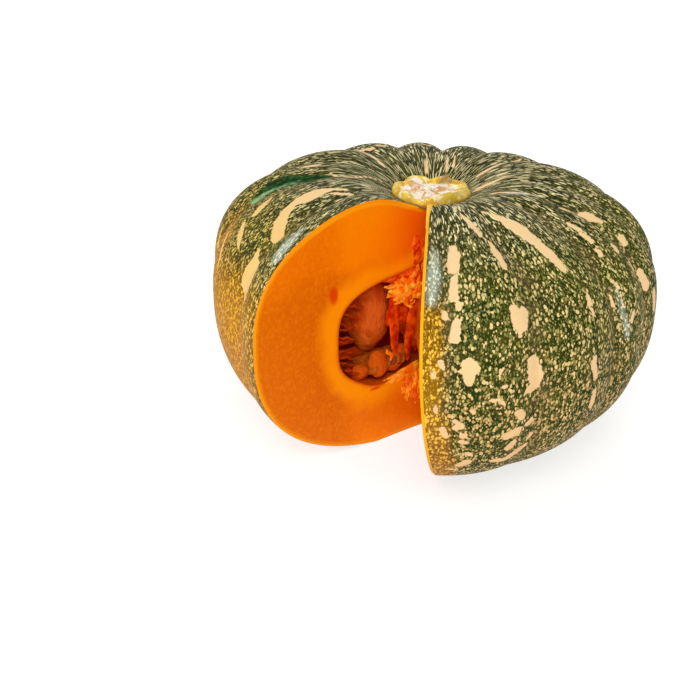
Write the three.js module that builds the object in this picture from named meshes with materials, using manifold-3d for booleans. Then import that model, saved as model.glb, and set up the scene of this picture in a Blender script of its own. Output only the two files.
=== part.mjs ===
// A low ribbed pumpkin with one wedge cut out of it, open to its seed cavity.
// Millimetres, +Z up. The fruit stands on the flat of its base, its own axis is x = 0, y = 0,
// and the middle of the missing wedge faces -Y. Azimuths are degrees anticlockwise from +X.
import * as THREE from 'three';
import { ParametricGeometry } from 'three/addons/geometries/ParametricGeometry.js';
import { mergeVertices } from 'three/addons/utils/BufferGeometryUtils.js';
import Module from 'manifold-3d';

const wasm = await Module();
wasm.setup();

// Outline of the fruit, from its stem dimple over the shoulder to its base
const fruitRadius = 120;
const equatorHeight = 73.3;
const crownRise = 63.7;
const crownSquareness = 2.53;
const baseDrop = 75.9;
const baseSquareness = 2.46;
const dimpleDepth = 20.6;
const dimpleWidth = 31;

// How far the plan departs from a circle, as shares of the radius for each number of bulges
const planBulges = [
  { count: 1, cosine: 0, sine: -0.034 },
  { count: 2, cosine: 0, sine: -0.048 },
  { count: 3, cosine: -0.027, sine: 0.033 },
];

// Grooves between the ribs, at uneven azimuths as they grew
const grooveAzimuths = [-119, -90, -62, -42, -16.5, 2, 21, 40, 64, 87, 109, 130, 151, 176, 202];
const grooveDepth = 4.6;
const ribSharpness = 2.2;
const grooveStart = [0.08, 0.6];
const grooveEnd = [1.3, 2.7];
const columnWidth = 5.8;
const fruitRowCounts = [8, 11];
const fruitCrowding = 1.15;

// The wedge: a straight cut on the left and a cut on the right that swings out towards the base
const cutApex = new THREE.Vector2(6.3, -14.8);
const leftCut = -112.8;
const rightCut = -67.2;
const rightCutSwing = 7.4;
const swingStart = 125;
const swingPower = 3;
const swingLimit = 1.1;
const cutReach = 210;
const cutLevels = 8;
const cutOverrun = 6;

// Layers of the wall, and the gap left between touching pieces
const rindThickness = 2;
const gap = 0.3;

// The seed cavity: a low rounded hollow with a throat running up towards the stem
const cavityRadius = 69;
const cavityHeight = 62;
const cavityRoofRise = 29;
const cavityFloorDrop = 27;
const cavitySquareness = 3.4;
const throatRise = 14;
const throatWidth = 14;
const cavityColumnCount = 40;
const cavityRowCounts = [6, 8];
const cavityCrowding = 1.2;

// The corky stem scar left where the stalk came away
const stemRadius = 20.5;
const stemHeight = 127.5;
const stemFoot = 112;
const stemPit = 2.6;
const stemShoulderDrop = 7.5;
const stemShoulderPower = 6;
const stemRimShare = 0.72;
const stemRimWidth = 0.2;
const stemFootShare = 0.86;
const stemRounding = 0.8;
const stemColumnCount = 30;
const stemRows = [0, 0.5, 0.85, 1.15, 1.4, 1.62, 1.9, 2.2, 2.55, 3];
const stemWaves = [
  { count: 3, height: 0.7, twist: 5 },
  { count: 7, height: 0.5, twist: -4 },
];
const stemLobes = [
  { count: 3, share: 0.035, phase: 0.4 },
  { count: 5, share: 0.05, phase: 1.9 },
];

// Pulp: swollen lobes round a core, tied to the wall by flat ribbons
const pulpDraw = 71;
const lobeCount = 14;
const lobeRing = 40;
const lobeSize = new THREE.Vector3(19, 11.5, 21);
const lobeHeight = 64;
const lobeSetback = 9;
const lobeSwell = 0.08;
const lobeShift = 1.5;
const lumpFaces = [9, 6];
const coreSize = new THREE.Vector3(25, 25, 40);
const ribbonHeights = [49, 71];
const ribbonSize = new THREE.Vector3(32, 7, 1.8);
const ribbonMiddle = 60;
const ribbonTurn = 4.5;
const ribbonShift = 2;
const ribbonTilt = 12;
const strandSize = new THREE.Vector3(1.6, 5.5, 36);
const strandPlaces = [
  { along: 19, behind: 5, height: 61, turn: 80 },
  { along: 10, behind: 4, height: 58, turn: 110 },
];
const tuftSpikes = 8;
const tuftPlace = { along: 14, behind: 7, height: 81 };
const tuftSize = new THREE.Vector3(9, 6.5, 8);
const spikeLength = 10;
const spikeRadius = 1.6;
const spikeSides = 4;
const spikeFan = 60;
const spikeRise = [-0.9, 0.35];

// Seeds: flat, tapered, lying over each other in a row beside each cut
const seedDraw = 29;
const seedLength = 18;
const seedWidth = 10.5;
const seedThickness = 4;
const seedTaper = 0.42;
const seedsInRow = 7;
const seedPitch = 3.1;
const seedLean = 38;
const seedTurn = [78, 88];
const seedLift = 1.6;
const seedFaces = [8, 6];
const seedRows = [
  { name: 'seeds_left', azimuth: leftCut, side: -1, along: 15, behind: 9.5, height: 40.5 },
  { name: 'seeds_right', azimuth: rightCut, side: 1, along: 15, behind: 9.5, height: 40.5 },
];

const materials = {
  rind: new THREE.MeshStandardMaterial({ color: 0x4a5524, roughness: 0.5, metalness: 0 }),
  flesh: new THREE.MeshStandardMaterial({ color: 0xf08a14, roughness: 0.55, metalness: 0 }),
  pulp: new THREE.MeshStandardMaterial({ color: 0xc2541c, roughness: 0.6, metalness: 0 }),
  stem: new THREE.MeshStandardMaterial({ color: 0xcdb183, roughness: 0.85, metalness: 0 }),
  seed: new THREE.MeshStandardMaterial({ color: 0xe6cd98, roughness: 0.5, metalness: 0 }),
};

const radians = THREE.MathUtils.degToRad;
const { lerp, smoothstep, clamp } = THREE.MathUtils;

// A repeatable stream of numbers from 0 to 1
function randomStream(seed) {
  let state = seed;
  return () => {
    state = (state * 16807) % 2147483647;
    return state / 2147483647;
  };
}

// A closed surface becomes a solid once its seam is welded and its collapsed triangles are dropped
function toSolid(geometry) {
  geometry.deleteAttribute('normal');
  geometry.deleteAttribute('uv');
  const welded = mergeVertices(geometry);
  const corners = welded.index.array;
  const kept = [];
  for (let i = 0; i < corners.length; i += 3) {
    const [a, b, c] = corners.subarray(i, i + 3);
    if (a !== b && b !== c && c !== a) kept.push(a, b, c);
  }
  const vertProperties = new Float32Array(welded.attributes.position.array);
  return new wasm.Manifold(new wasm.Mesh({ numProp: 3, vertProperties, triVerts: new Uint32Array(kept) }));
}

function toMesh(name, solid, material) {
  const faces = solid.getMesh();
  const geometry = new THREE.BufferGeometry();
  geometry.setAttribute('position', new THREE.BufferAttribute(new Float32Array(faces.vertProperties), 3));
  geometry.setIndex(new THREE.BufferAttribute(new Uint32Array(faces.triVerts), 1));
  geometry.computeVertexNormals();
  const mesh = new THREE.Mesh(geometry, material);
  mesh.name = name;
  return mesh;
}

function sumOf(items, valueOf) {
  return items.reduce((sum, item) => sum + valueOf(item), 0);
}

function joinAll(solids) {
  return solids.reduce((joined, solid) => joined.add(solid));
}

// The one body that is left when loose scraps are dropped
function largestBody(solid) {
  const bodies = solid.decompose();
  return bodies.reduce((largest, body) => (body.volume() > largest.volume() ? body : largest));
}

function direction(azimuth) {
  return new THREE.Vector2(Math.cos(radians(azimuth)), Math.sin(radians(azimuth)));
}

// Columns stand on every groove and evenly between grooves
function columnAzimuths() {
  const azimuths = [];
  grooveAzimuths.forEach((start, i) => {
    const end = i + 1 < grooveAzimuths.length ? grooveAzimuths[i + 1] : grooveAzimuths[0] + 360;
    const steps = Math.round((end - start) / columnWidth);
    for (let k = 0; k < steps; k += 1) azimuths.push(lerp(start, end, k / steps));
  });
  return azimuths;
}

// Rows of polar angle from the base, pi, up to the stem, 0, drawn together towards both poles
function polarRows(belowEquator, aboveEquator, crowding) {
  const rows = [];
  for (let i = 0; i < belowEquator; i += 1) {
    rows.push(Math.PI - (Math.PI / 2) * (i / belowEquator) ** crowding);
  }
  for (let i = aboveEquator; i >= 0; i -= 1) {
    rows.push((Math.PI / 2) * (i / aboveEquator) ** crowding);
  }
  return rows;
}

// A closed surface on a net of azimuth columns and polar rows
function netSolid(columns, rows, pointAt) {
  const place = (u, v, target) => {
    const column = Math.round(u * columns.length) % columns.length;
    const row = Math.round(v * (rows.length - 1));
    pointAt(columns[column], rows[row], target);
  };
  return toSolid(new ParametricGeometry(place, columns.length, rows.length - 1));
}

function evenColumns(count) {
  return Array.from({ length: count }, (_, i) => (i * 360) / count);
}

// Share by which the plan stands out of the circle
function planAt(azimuth) {
  return 1 + sumOf(planBulges, (bulge) => {
    const turn = radians(bulge.count * azimuth);
    return bulge.cosine * Math.cos(turn) + bulge.sine * Math.sin(turn);
  });
}

// 0 on a groove, 1 on the crest of the rib between two grooves
function ribAt(azimuth) {
  const first = grooveAzimuths[0];
  const turned = first + ((((azimuth - first) % 360) + 360) % 360);
  let i = grooveAzimuths.length - 1;
  while (grooveAzimuths[i] > turned) i -= 1;
  const start = grooveAzimuths[i];
  const end = i + 1 < grooveAzimuths.length ? grooveAzimuths[i + 1] : first + 360;
  return 1 - Math.abs((2 * (turned - start)) / (end - start) - 1) ** ribSharpness;
}

// Radius and height of the outline at a polar angle
function outlineAt(polar) {
  const upper = polar < Math.PI / 2;
  const power = 2 / (upper ? crownSquareness : baseSquareness);
  const radius = fruitRadius * Math.abs(Math.sin(polar)) ** power;
  const rise = Math.abs(Math.cos(polar)) ** power;
  if (upper) {
    const dimple = dimpleDepth * Math.exp(-((radius / dimpleWidth) ** 2));
    return new THREE.Vector2(radius, equatorHeight + crownRise * rise - dimple);
  }
  return new THREE.Vector2(radius, Math.max(0, equatorHeight - baseDrop * rise));
}

// Outward direction of the outline, straight up or down at the poles
function outwardAt(polar) {
  const step = 0.01;
  if (polar < step) return new THREE.Vector2(0, 1);
  if (polar > Math.PI - step) return new THREE.Vector2(0, -1);
  const run = outlineAt(polar + step).sub(outlineAt(polar - step)).normalize();
  return new THREE.Vector2(-run.y, run.x);
}

// Grooves start outside the stem, are deepest on the shoulder and die out towards the base
function grooveAt(polar) {
  return grooveDepth * smoothstep(polar, ...grooveStart) * (1 - smoothstep(polar, ...grooveEnd));
}

// A point of the fruit's surface, moved in by an inset
function fruitPoint(inset) {
  return (azimuth, polar, target) => {
    const outline = outlineAt(polar);
    const depth = inset + grooveAt(polar) * (1 - ribAt(azimuth));
    outline.addScaledVector(outwardAt(polar), -depth);
    const reach = outline.x * planAt(azimuth);
    target.set(reach * Math.cos(radians(azimuth)), reach * Math.sin(radians(azimuth)), outline.y);
  };
}

function cavityPoint(inset) {
  return (azimuth, polar, target) => {
    const power = 2 / cavitySquareness;
    const radius = (cavityRadius - inset) * Math.abs(Math.sin(polar)) ** power;
    const rise = Math.sign(Math.cos(polar)) * Math.abs(Math.cos(polar)) ** power;
    const throat = polar < Math.PI / 2 ? throatRise * Math.exp(-((radius / throatWidth) ** 2)) : 0;
    const reach = radius * planAt(azimuth);
    const halfHeight = polar < Math.PI / 2 ? cavityRoofRise : cavityFloorDrop;
    const height = cavityHeight + (halfHeight - inset) * rise + throat;
    target.set(reach * Math.cos(radians(azimuth)), reach * Math.sin(radians(azimuth)), height);
  };
}

// The missing wedge, as triangles stacked from under the base to over the stem
function wedgeSolid() {
  const bottom = -cutOverrun;
  const top = equatorHeight + crownRise + cutOverrun;
  const corners = [];
  for (let level = 0; level < cutLevels; level += 1) {
    const height = lerp(bottom, top, level / (cutLevels - 1));
    const below = clamp((swingStart - height) / swingStart, 0, swingLimit);
    const swung = rightCut + rightCutSwing * below ** swingPower;
    const left = cutApex.clone().addScaledVector(direction(leftCut), cutReach);
    const right = cutApex.clone().addScaledVector(direction(swung), cutReach);
    for (const corner of [cutApex, left, right]) corners.push(corner.x, corner.y, height);
  }
  const faces = [2, 1, 0];
  for (let level = 0; level + 1 < cutLevels; level += 1) {
    for (let side = 0; side < 3; side += 1) {
      const a = level * 3 + side;
      const b = level * 3 + ((side + 1) % 3);
      faces.push(a, b, b + 3, a, b + 3, a + 3);
    }
  }
  const last = (cutLevels - 1) * 3;
  faces.push(last, last + 1, last + 2);
  const geometry = new THREE.BufferGeometry();
  geometry.setAttribute('position', new THREE.Float32BufferAttribute(corners, 3));
  geometry.setIndex(faces);
  return toSolid(geometry);
}

// A point beside a cut: so far along it from the apex, and so far behind its face
function besideCut(azimuth, side, along, behind, height) {
  const run = direction(azimuth);
  const place = cutApex.clone().addScaledVector(run, along);
  place.addScaledVector(new THREE.Vector2(-run.y, run.x), side * behind);
  return new THREE.Vector3(place.x, place.y, height);
}

// The scar: a lumpy pad with a raised rim, a pit at its middle and a foot that goes down to the rind
function stemSolid(rindTop) {
  const place = (azimuth, row, target) => {
    const turn = radians(azimuth);
    const outline = 1 + sumOf(stemLobes, (lobe) => lobe.share * Math.sin(lobe.count * turn + lobe.phase));
    const under = row < 1;
    const share = under ? row : Math.max(0, (3 - row) / 2);
    const bulge = under ? stemFootShare : 1;
    const rounded = Math.sin((share * Math.PI) / 2) ** stemRounding;
    const rim = Math.exp(-(((share - stemRimShare) / stemRimWidth) ** 2));
    const wobble = sumOf(stemWaves, (wave) => wave.height * Math.sin(wave.count * turn + wave.twist * share));
    const shoulder = stemShoulderDrop * share ** stemShoulderPower;
    const dome = stemHeight - stemPit * (1 - rim) - shoulder + wobble * share;
    const reach = stemRadius * outline * bulge * rounded;
    target.set(reach * Math.cos(turn), reach * Math.sin(turn), under ? stemFoot : dome);
  };
  return netSolid(evenColumns(stemColumnCount), stemRows, place).subtract(rindTop);
}

function lump(size, centre, azimuth) {
  const geometry = new THREE.SphereGeometry(1, ...lumpFaces);
  geometry.rotateX(Math.PI / 2);
  geometry.scale(size.x, size.y, size.z);
  geometry.rotateZ(radians(azimuth));
  geometry.translate(centre.x, centre.y, centre.z);
  return toSolid(geometry);
}

function bar(size, centre, azimuth, tilt) {
  const geometry = new THREE.BoxGeometry(size.x, size.y, size.z);
  geometry.rotateY(radians(tilt));
  geometry.rotateZ(radians(azimuth));
  geometry.translate(centre.x, centre.y, centre.z);
  return toSolid(geometry);
}

// A thin torn point of pulp that leaves a middle in a given direction
function spike(foot, heading) {
  const geometry = new THREE.ConeGeometry(spikeRadius, spikeLength, spikeSides);
  geometry.translate(0, spikeLength / 3, 0);
  geometry.applyQuaternion(new THREE.Quaternion().setFromUnitVectors(new THREE.Vector3(0, 1, 0), heading));
  geometry.translate(foot.x, foot.y, foot.z);
  return toSolid(geometry);
}

function pulpSolid() {
  const random = randomStream(pulpDraw);
  const spread = () => 2 * random() - 1;
  const first = rightCut + lobeSetback;
  const last = leftCut + 360 - lobeSetback;
  const pieces = [lump(coreSize, new THREE.Vector3(0, 0, cavityHeight), 0)];
  for (let i = 0; i < lobeCount; i += 1) {
    const azimuth = lerp(first, last, i / (lobeCount - 1));
    const run = direction(azimuth);
    const swell = 1 + lobeSwell * spread();
    const centre = new THREE.Vector3(run.x * lobeRing, run.y * lobeRing, lobeHeight + lobeShift * spread());
    pieces.push(lump(lobeSize.clone().multiplyScalar(swell), centre, azimuth));
    for (const height of ribbonHeights) {
      const turned = azimuth + ribbonTurn * spread();
      const way = direction(turned);
      const place = new THREE.Vector3(way.x, way.y, 0).multiplyScalar(ribbonMiddle);
      place.z = height + ribbonShift * spread();
      pieces.push(bar(ribbonSize, place, turned, ribbonTilt * spread()));
    }
  }
  for (const { azimuth, side } of seedRows) {
    for (const strand of strandPlaces) {
      const place = besideCut(azimuth, side, strand.along, strand.behind, strand.height);
      pieces.push(bar(strandSize, place, azimuth + side * strand.turn, 0));
    }
    const tuft = besideCut(azimuth, side, tuftPlace.along, tuftPlace.behind, tuftPlace.height);
    pieces.push(lump(tuftSize, tuft, azimuth));
    for (let i = 0; i < tuftSpikes; i += 1) {
      const turn = radians(azimuth - 90 * side + spikeFan * spread());
      const drop = lerp(...spikeRise, random());
      const heading = new THREE.Vector3(Math.cos(turn), Math.sin(turn), drop).normalize();
      pieces.push(spike(tuft.clone().addScaledVector(heading, tuftSize.y), heading));
    }
  }
  return joinAll(pieces);
}

// One seed, grown all round by a margin: flat, and drawn in towards its root end
function seedSolid(centre, azimuth, lean, margin) {
  const geometry = new THREE.SphereGeometry(1, ...seedFaces);
  geometry.rotateZ(Math.PI / 2);
  const spots = geometry.attributes.position;
  for (let i = 0; i < spots.count; i += 1) {
    spots.setY(i, spots.getY(i) * (1 - seedTaper * Math.max(0, spots.getX(i))));
  }
  geometry.scale(seedLength / 2 + margin, seedWidth / 2 + margin, seedThickness / 2 + margin);
  geometry.rotateX(radians(lean));
  geometry.rotateZ(radians(azimuth));
  geometry.translate(centre.x, centre.y, centre.z);
  return toSolid(geometry);
}

// Seeds side by side behind a cut, their flat faces leaning on each other
function seedRowSolid(row, margin) {
  const random = randomStream(seedDraw);
  const seeds = [];
  for (let i = 0; i < seedsInRow; i += 1) {
    const height = row.height + seedLift * random();
    const place = besideCut(row.azimuth, row.side, row.along + i * seedPitch, row.behind, height);
    const azimuth = row.azimuth + row.side * lerp(...seedTurn, random());
    seeds.push(seedSolid(place, azimuth, row.side * (90 - seedLean), margin));
  }
  return joinAll(seeds);
}

const columns = columnAzimuths();
const fruitRows = polarRows(...fruitRowCounts, fruitCrowding);
const cavityColumns = evenColumns(cavityColumnCount);
const cavityRows = polarRows(...cavityRowCounts, cavityCrowding);
const wedge = wedgeSolid();
const fruit = netSolid(columns, fruitRows, fruitPoint(0));
const underRind = netSolid(columns, fruitRows, fruitPoint(rindThickness));
const fleshBody = netSolid(columns, fruitRows, fruitPoint(rindThickness + gap));
const overRind = netSolid(columns, fruitRows, fruitPoint(-gap));
const cavity = netSolid(cavityColumns, cavityRows, cavityPoint(0));
const cavityRoom = netSolid(cavityColumns, cavityRows, cavityPoint(gap));

const rind = fruit.subtract(underRind).subtract(wedge);
const flesh = fleshBody.subtract(cavity).subtract(wedge);
const seedBeds = joinAll(seedRows.map((row) => seedRowSolid(row, gap)));
const pulp = largestBody(pulpSolid().intersect(cavityRoom).subtract(seedBeds).subtract(wedge));

const pumpkin = new THREE.Group();
pumpkin.name = 'pumpkin';
pumpkin.add(toMesh('rind', rind, materials.rind));
pumpkin.add(toMesh('flesh', flesh, materials.flesh));
pumpkin.add(toMesh('stem', stemSolid(overRind), materials.stem));
pumpkin.add(toMesh('pulp', pulp, materials.pulp));
for (const row of seedRows) {
  const seeds = seedRowSolid(row, 0).intersect(cavityRoom).subtract(wedge);
  pumpkin.add(toMesh(row.name, seeds, materials.seed));
}

export default pumpkin;
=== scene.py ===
import bpy
import bmesh
import numpy as np
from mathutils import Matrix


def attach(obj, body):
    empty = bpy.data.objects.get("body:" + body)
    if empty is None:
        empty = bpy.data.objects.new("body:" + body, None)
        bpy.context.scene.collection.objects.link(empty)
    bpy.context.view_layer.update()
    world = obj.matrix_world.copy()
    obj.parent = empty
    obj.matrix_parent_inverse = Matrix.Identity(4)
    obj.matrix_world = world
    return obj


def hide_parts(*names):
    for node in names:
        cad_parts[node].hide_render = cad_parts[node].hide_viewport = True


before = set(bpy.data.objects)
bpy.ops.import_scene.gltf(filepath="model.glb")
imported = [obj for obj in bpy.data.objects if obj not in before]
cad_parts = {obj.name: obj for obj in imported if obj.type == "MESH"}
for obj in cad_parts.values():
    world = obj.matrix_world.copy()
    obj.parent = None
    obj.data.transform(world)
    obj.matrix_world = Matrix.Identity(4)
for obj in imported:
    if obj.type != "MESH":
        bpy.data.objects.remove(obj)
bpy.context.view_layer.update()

metre = 0.001       # sizes below are in millimetres, and meshes are made in metres
shown = "root"
print("frame loaded")


# Outline of the fruit, the same as its solids have. Azimuths are degrees anticlockwise from +X.
fruit = {
    "radius": 120.0,
    "equatorHeight": 73.3,
    "crownRise": 63.7,
    "crownSquareness": 2.53,
    "baseDrop": 75.9,
    "baseSquareness": 2.46,
    "dimpleDepth": 20.6,
    "dimpleWidth": 31.0,
    "grooves": (-119, -90, -62, -42, -16.5, 2, 21, 40, 64, 87, 109, 130, 151, 176, 202),
    "grooveDepth": 4.6,
    "grooveStart": (0.08, 0.6),     # polar angles over which the grooves deepen below the stem
    "grooveEnd": (1.3, 2.7),        # and fade out towards the base
    "ribSharpness": 2.2,
}

# The missing wedge
wedge = {
    "apex": (6.3, -14.8),
    "leftCut": -112.8,
    "rightCut": -67.2,
    "rightSwing": 7.4,      # degrees that the right cut swings out towards the base
    "swingStart": 125.0,
    "nickFade": 12.0,       # millimetres from the apex over which a nicked edge comes back to the cut
    "rounds": 30,           # steps in which a ray from the apex finds its azimuth on a surface
}

cavity = {
    "radius": 69.0,
    "height": 62.0,
    "roofRise": 29.0,
    "floorDrop": 27.0,
    "squareness": 3.4,
    "throatRise": 14.0,
    "throatWidth": 14.0,
    "sag": (3.6, 33.0, 13.0),       # the floor's basin: depth, distance from the apex, width
    "sagBelow": (50, 40),           # heights over which the basin sets in
}


# Rises from 0 at low to 1 at high as 3s^2 - 2s^3
def smooth(value, low, high):
    share = np.clip((value - low) / (high - low), 0.0, 1.0)
    return share * share * (3 - 2 * share)


# Smooth noise from -1 to 1: random values on a cubic net of the given cell, blended by 3s^2 - 2s^3.
def lumpNoise(x, y, z, cell, seed):
    net = 32        # the net repeats after this many cells
    table = np.random.default_rng(seed).random((net, net, net)) * 2 - 1
    spots = [np.asarray(v) / cell for v in (x, y, z)]
    low = [np.floor(v).astype(int) for v in spots]
    share = [v - l for v, l in zip(spots, low)]
    share = [s * s * (3 - 2 * s) for s in share]
    total = 0.0
    for dx in (0, 1):
        for dy in (0, 1):
            for dz in (0, 1):
                weight = 1.0
                for side, s in zip((dx, dy, dz), share):
                    weight = weight * (s if side else 1 - s)
                corner = table[(low[0] + dx) % net, (low[1] + dy) % net, (low[2] + dz) % net]
                total = total + weight * corner
    return total


# 1 - 0.034 sin f - 0.048 sin 2f - 0.027 cos 3f + 0.033 sin 3f
def planShare(azimuth):
    return (1 - 0.034 * np.sin(azimuth) - 0.048 * np.sin(2 * azimuth)
            - 0.027 * np.cos(3 * azimuth) + 0.033 * np.sin(3 * azimuth))


# 1 - |2u - 1|^sharpness, with u from 0 to 1 between neighbouring grooves
def ribHeight(azimuth):
    marks = np.radians(np.array(fruit["grooves"] + (fruit["grooves"][0] + 360,), float))
    turned = marks[0] + np.mod(azimuth - marks[0], 2 * np.pi)
    rib = np.clip(np.searchsorted(marks, turned, side="right") - 1, 0, len(marks) - 2)
    share = (turned - marks[rib]) / (marks[rib + 1] - marks[rib])
    return 1 - np.abs(2 * share - 1) ** fruit["ribSharpness"]


# Superellipse halves: r = R sin^p; above z = equator + rise cos^p less the dimple d exp(-(r/w)^2),
# below z = equator - drop cos^p, cut off flat at 0
def outline(polar):
    upper = polar < np.pi / 2
    power = np.where(upper, 2 / fruit["crownSquareness"], 2 / fruit["baseSquareness"])
    radius = fruit["radius"] * np.abs(np.sin(polar)) ** power
    rise = np.abs(np.cos(polar)) ** power
    dimple = fruit["dimpleDepth"] * np.exp(-(radius / fruit["dimpleWidth"]) ** 2)
    crown = fruit["equatorHeight"] + fruit["crownRise"] * rise - dimple
    base = np.maximum(0, fruit["equatorHeight"] - fruit["baseDrop"] * rise)
    return radius, np.where(upper, crown, base)


# Unit normal of the outline, from central differences
def outward(polar):
    step = 0.01
    spot = np.clip(polar, 2 * step, np.pi - 2 * step)
    r0, z0 = outline(spot - step)
    r1, z1 = outline(spot + step)
    length = np.hypot(r1 - r0, z1 - z0)
    return -(z1 - z0) / length, (r1 - r0) / length


# Depth d s(start) (1 - s(end)), with s the smooth rise over a range of polar angles
def grooveDepth(polar):
    depth = fruit["grooveDepth"] * smooth(polar, *fruit["grooveStart"])
    return depth * (1 - smooth(polar, *fruit["grooveEnd"]))


# Outline moved in along its normal by inset + groove depth (1 - rib), then stretched by the plan share
def skinSurface(inset):
    def at(azimuth, polar):
        radius, height = outline(polar)
        nr, nz = outward(polar)
        depth = inset + grooveDepth(polar) * (1 - ribHeight(azimuth))
        return (radius - nr * depth) * planShare(azimuth), height - nz * depth
    return at


# Polar angle whose outline radius is reach / plan share
def skinPolar(azimuth, reach, top):
    power = 2 / (fruit["crownSquareness"] if top else fruit["baseSquareness"])
    polar = np.arcsin(np.clip(reach / planShare(azimuth) / fruit["radius"], 0, 1) ** (1 / power))
    return polar if top else np.pi - polar


# Superellipsoid, with a throat exp(-(r/width)^2) in its roof
def cavitySurface(inset):
    def at(azimuth, polar):
        upper = polar < np.pi / 2
        power = 2 / cavity["squareness"]
        radius = (cavity["radius"] - inset) * np.abs(np.sin(polar)) ** power
        rise = np.sign(np.cos(polar)) * np.abs(np.cos(polar)) ** power
        throat = np.where(upper, cavity["throatRise"] * np.exp(-(radius / cavity["throatWidth"]) ** 2), 0)
        half = np.where(upper, cavity["roofRise"], cavity["floorDrop"])
        height = cavity["height"] + (half - inset) * rise + throat
        return radius * planShare(azimuth), height
    return at


# Radius of the cavity at a height: R (1 - |dz / half|^n)^(1/n)
def wallReach(height):
    rise = height - cavity["height"]
    half = np.where(rise > 0, cavity["roofRise"], cavity["floorDrop"])
    power = cavity["squareness"]
    return cavity["radius"] * (1 - np.clip(np.abs(rise) / half, 0, 1) ** power) ** (1 / power)


def cutAngle(side):
    return wedge["leftCut" if side == "left" else "rightCut"]


# Distance along a cut from its apex a to the cavity wall: s = -a.d + sqrt(r^2 - a.a + (a.d)^2)
def wallAlong(side, height):
    angle = np.radians(cutAngle(side))
    toward = wedge["apex"][0] * np.cos(angle) + wedge["apex"][1] * np.sin(angle)
    reach = wallReach(height) * planShare(angle)
    return -toward + np.sqrt(reach ** 2 - wedge["apex"][0] ** 2 - wedge["apex"][1] ** 2 + toward ** 2)


# Polar angle whose cavity radius is reach / plan share
def cavityPolar(azimuth, reach, top):
    share = np.clip(reach / planShare(azimuth) / cavity["radius"], 0, 1)
    polar = np.arcsin(share ** (cavity["squareness"] / 2))
    return polar if top else np.pi - polar


# Azimuths of the right and left cut at a height. The right one swings out by swing b^3, with b from 0 at the
# swing's start to 1 at the floor.
def cutAngles(height):
    below = np.clip((wedge["swingStart"] - height) / wedge["swingStart"], 0, 1.1)
    right = np.radians(wedge["rightCut"] + wedge["rightSwing"] * below ** 3)
    left = np.radians(wedge["leftCut"] + 360)
    return right, left + 0 * height


# Grid of points on a surface between the two cuts: rays leave the apex a at angle y, from the right cut
# at t = 0 round the back to the left cut at t = 1, and meet the surface at azimuth
# f = y + asin((u(y) x a) / r). Rows inside the first and last polar angle shrink straight to the apex.
# nicks is how far each end stays back.
def sweepRound(surface, polarOf, turns, polars, fan, nicks=(0.0, 0.0)):
    apex = np.array(wedge["apex"])
    turn, polar = np.meshgrid(turns, polars, indexing="ij")
    span = np.radians(wedge["leftCut"] + 360 - wedge["rightCut"])
    azimuth = np.radians(wedge["rightCut"]) + span * turn
    for _ in range(wedge["rounds"]):
        radius, z = surface(azimuth, polar)
        x, y = radius * np.cos(azimuth), radius * np.sin(azimuth)
        right, left = cutAngles(z)
        far = np.hypot(x - apex[0], y - apex[1]) + wedge["nickFade"]
        right, left = right + nicks[0] / far, left - nicks[1] / far
        ray = right + (left - right) * turn
        offset = np.cos(ray) * apex[1] - np.sin(ray) * apex[0]
        azimuth = ray + np.arcsin(np.clip(offset / radius, -1, 1))
    radius, z = surface(azimuth, polar)
    x, y = radius * np.cos(azimuth), radius * np.sin(azimuth)
    shares = np.linspace(0, 1, fan, endpoint=False)
    ends = []
    for top in (True, False):
        side = 0 if top else -1
        steps = shares if top else shares[::-1]
        endX = apex[0] + steps[None, :] * (x[:, side, None] - apex[0])
        endY = apex[1] + steps[None, :] * (y[:, side, None] - apex[1])
        endAzimuth = np.arctan2(endY, endX)
        endPolar = polarOf(endAzimuth, np.hypot(endX, endY), top)
        endZ = surface(endAzimuth, endPolar)[1]
        ends.append((endX, endY, endZ, endAzimuth, endPolar))
    middle = (x, y, z, azimuth, polar)
    return [np.concatenate(parts, axis=1) for parts in zip(ends[0], middle, ends[1])]


# Corner numbers of the quads of a grid of count x across points
def quads(count, start, across, flip=False):
    a = start + np.arange(count * across).reshape(count, across)
    corners = [a[:-1, :-1], a[:-1, 1:], a[1:, 1:], a[1:, :-1]]
    return np.stack(corners[::-1] if flip else corners, -1).reshape(-1, 4)


meshing = {
    "weld": 2e-6,           # metres within which points are merged
    "least": 1e-7,          # metres under which an edge is dissolved
    "sharpAngle": 38,       # degrees between faces above which an edge stays sharp
}


# A mesh from arrays of points (millimetres) and quads, welded where points meet, facing outwards
def makePiece(name, points, faces, numbers=None, closed=True):
    mesh = bpy.data.meshes.new(name)
    points = np.asarray(points, np.float64) * metre
    mesh.from_pydata(points.tolist(), [], np.asarray(faces).tolist())
    for key, values in (numbers or {}).items():
        values = np.asarray(values, np.float32)
        if values.ndim == 2:
            mesh.attributes.new(key, "FLOAT_VECTOR", "POINT").data.foreach_set("vector", values.ravel())
        else:
            mesh.attributes.new(key, "FLOAT", "POINT").data.foreach_set("value", values.ravel())
    work = bmesh.new()
    work.from_mesh(mesh)
    bmesh.ops.remove_doubles(work, verts=work.verts, dist=meshing["weld"])
    bmesh.ops.dissolve_degenerate(work, dist=meshing["least"], edges=work.edges)
    if closed:
        bmesh.ops.recalc_face_normals(work, faces=work.faces)
    work.to_mesh(mesh)
    work.free()
    mesh.polygons.foreach_set("use_smooth", np.ones(len(mesh.polygons), bool))
    mesh.set_sharp_from_angle(angle=np.radians(meshing["sharpAngle"]))
    piece = bpy.data.objects.new(name, mesh)
    bpy.context.scene.collection.objects.link(piece)
    return piece


# Materials: small helpers for node trees
def newMaterial(name):
    material = bpy.data.materials.new(name)
    material.use_nodes = True
    return material, material.node_tree, material.node_tree.nodes["Principled BSDF"]


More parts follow.
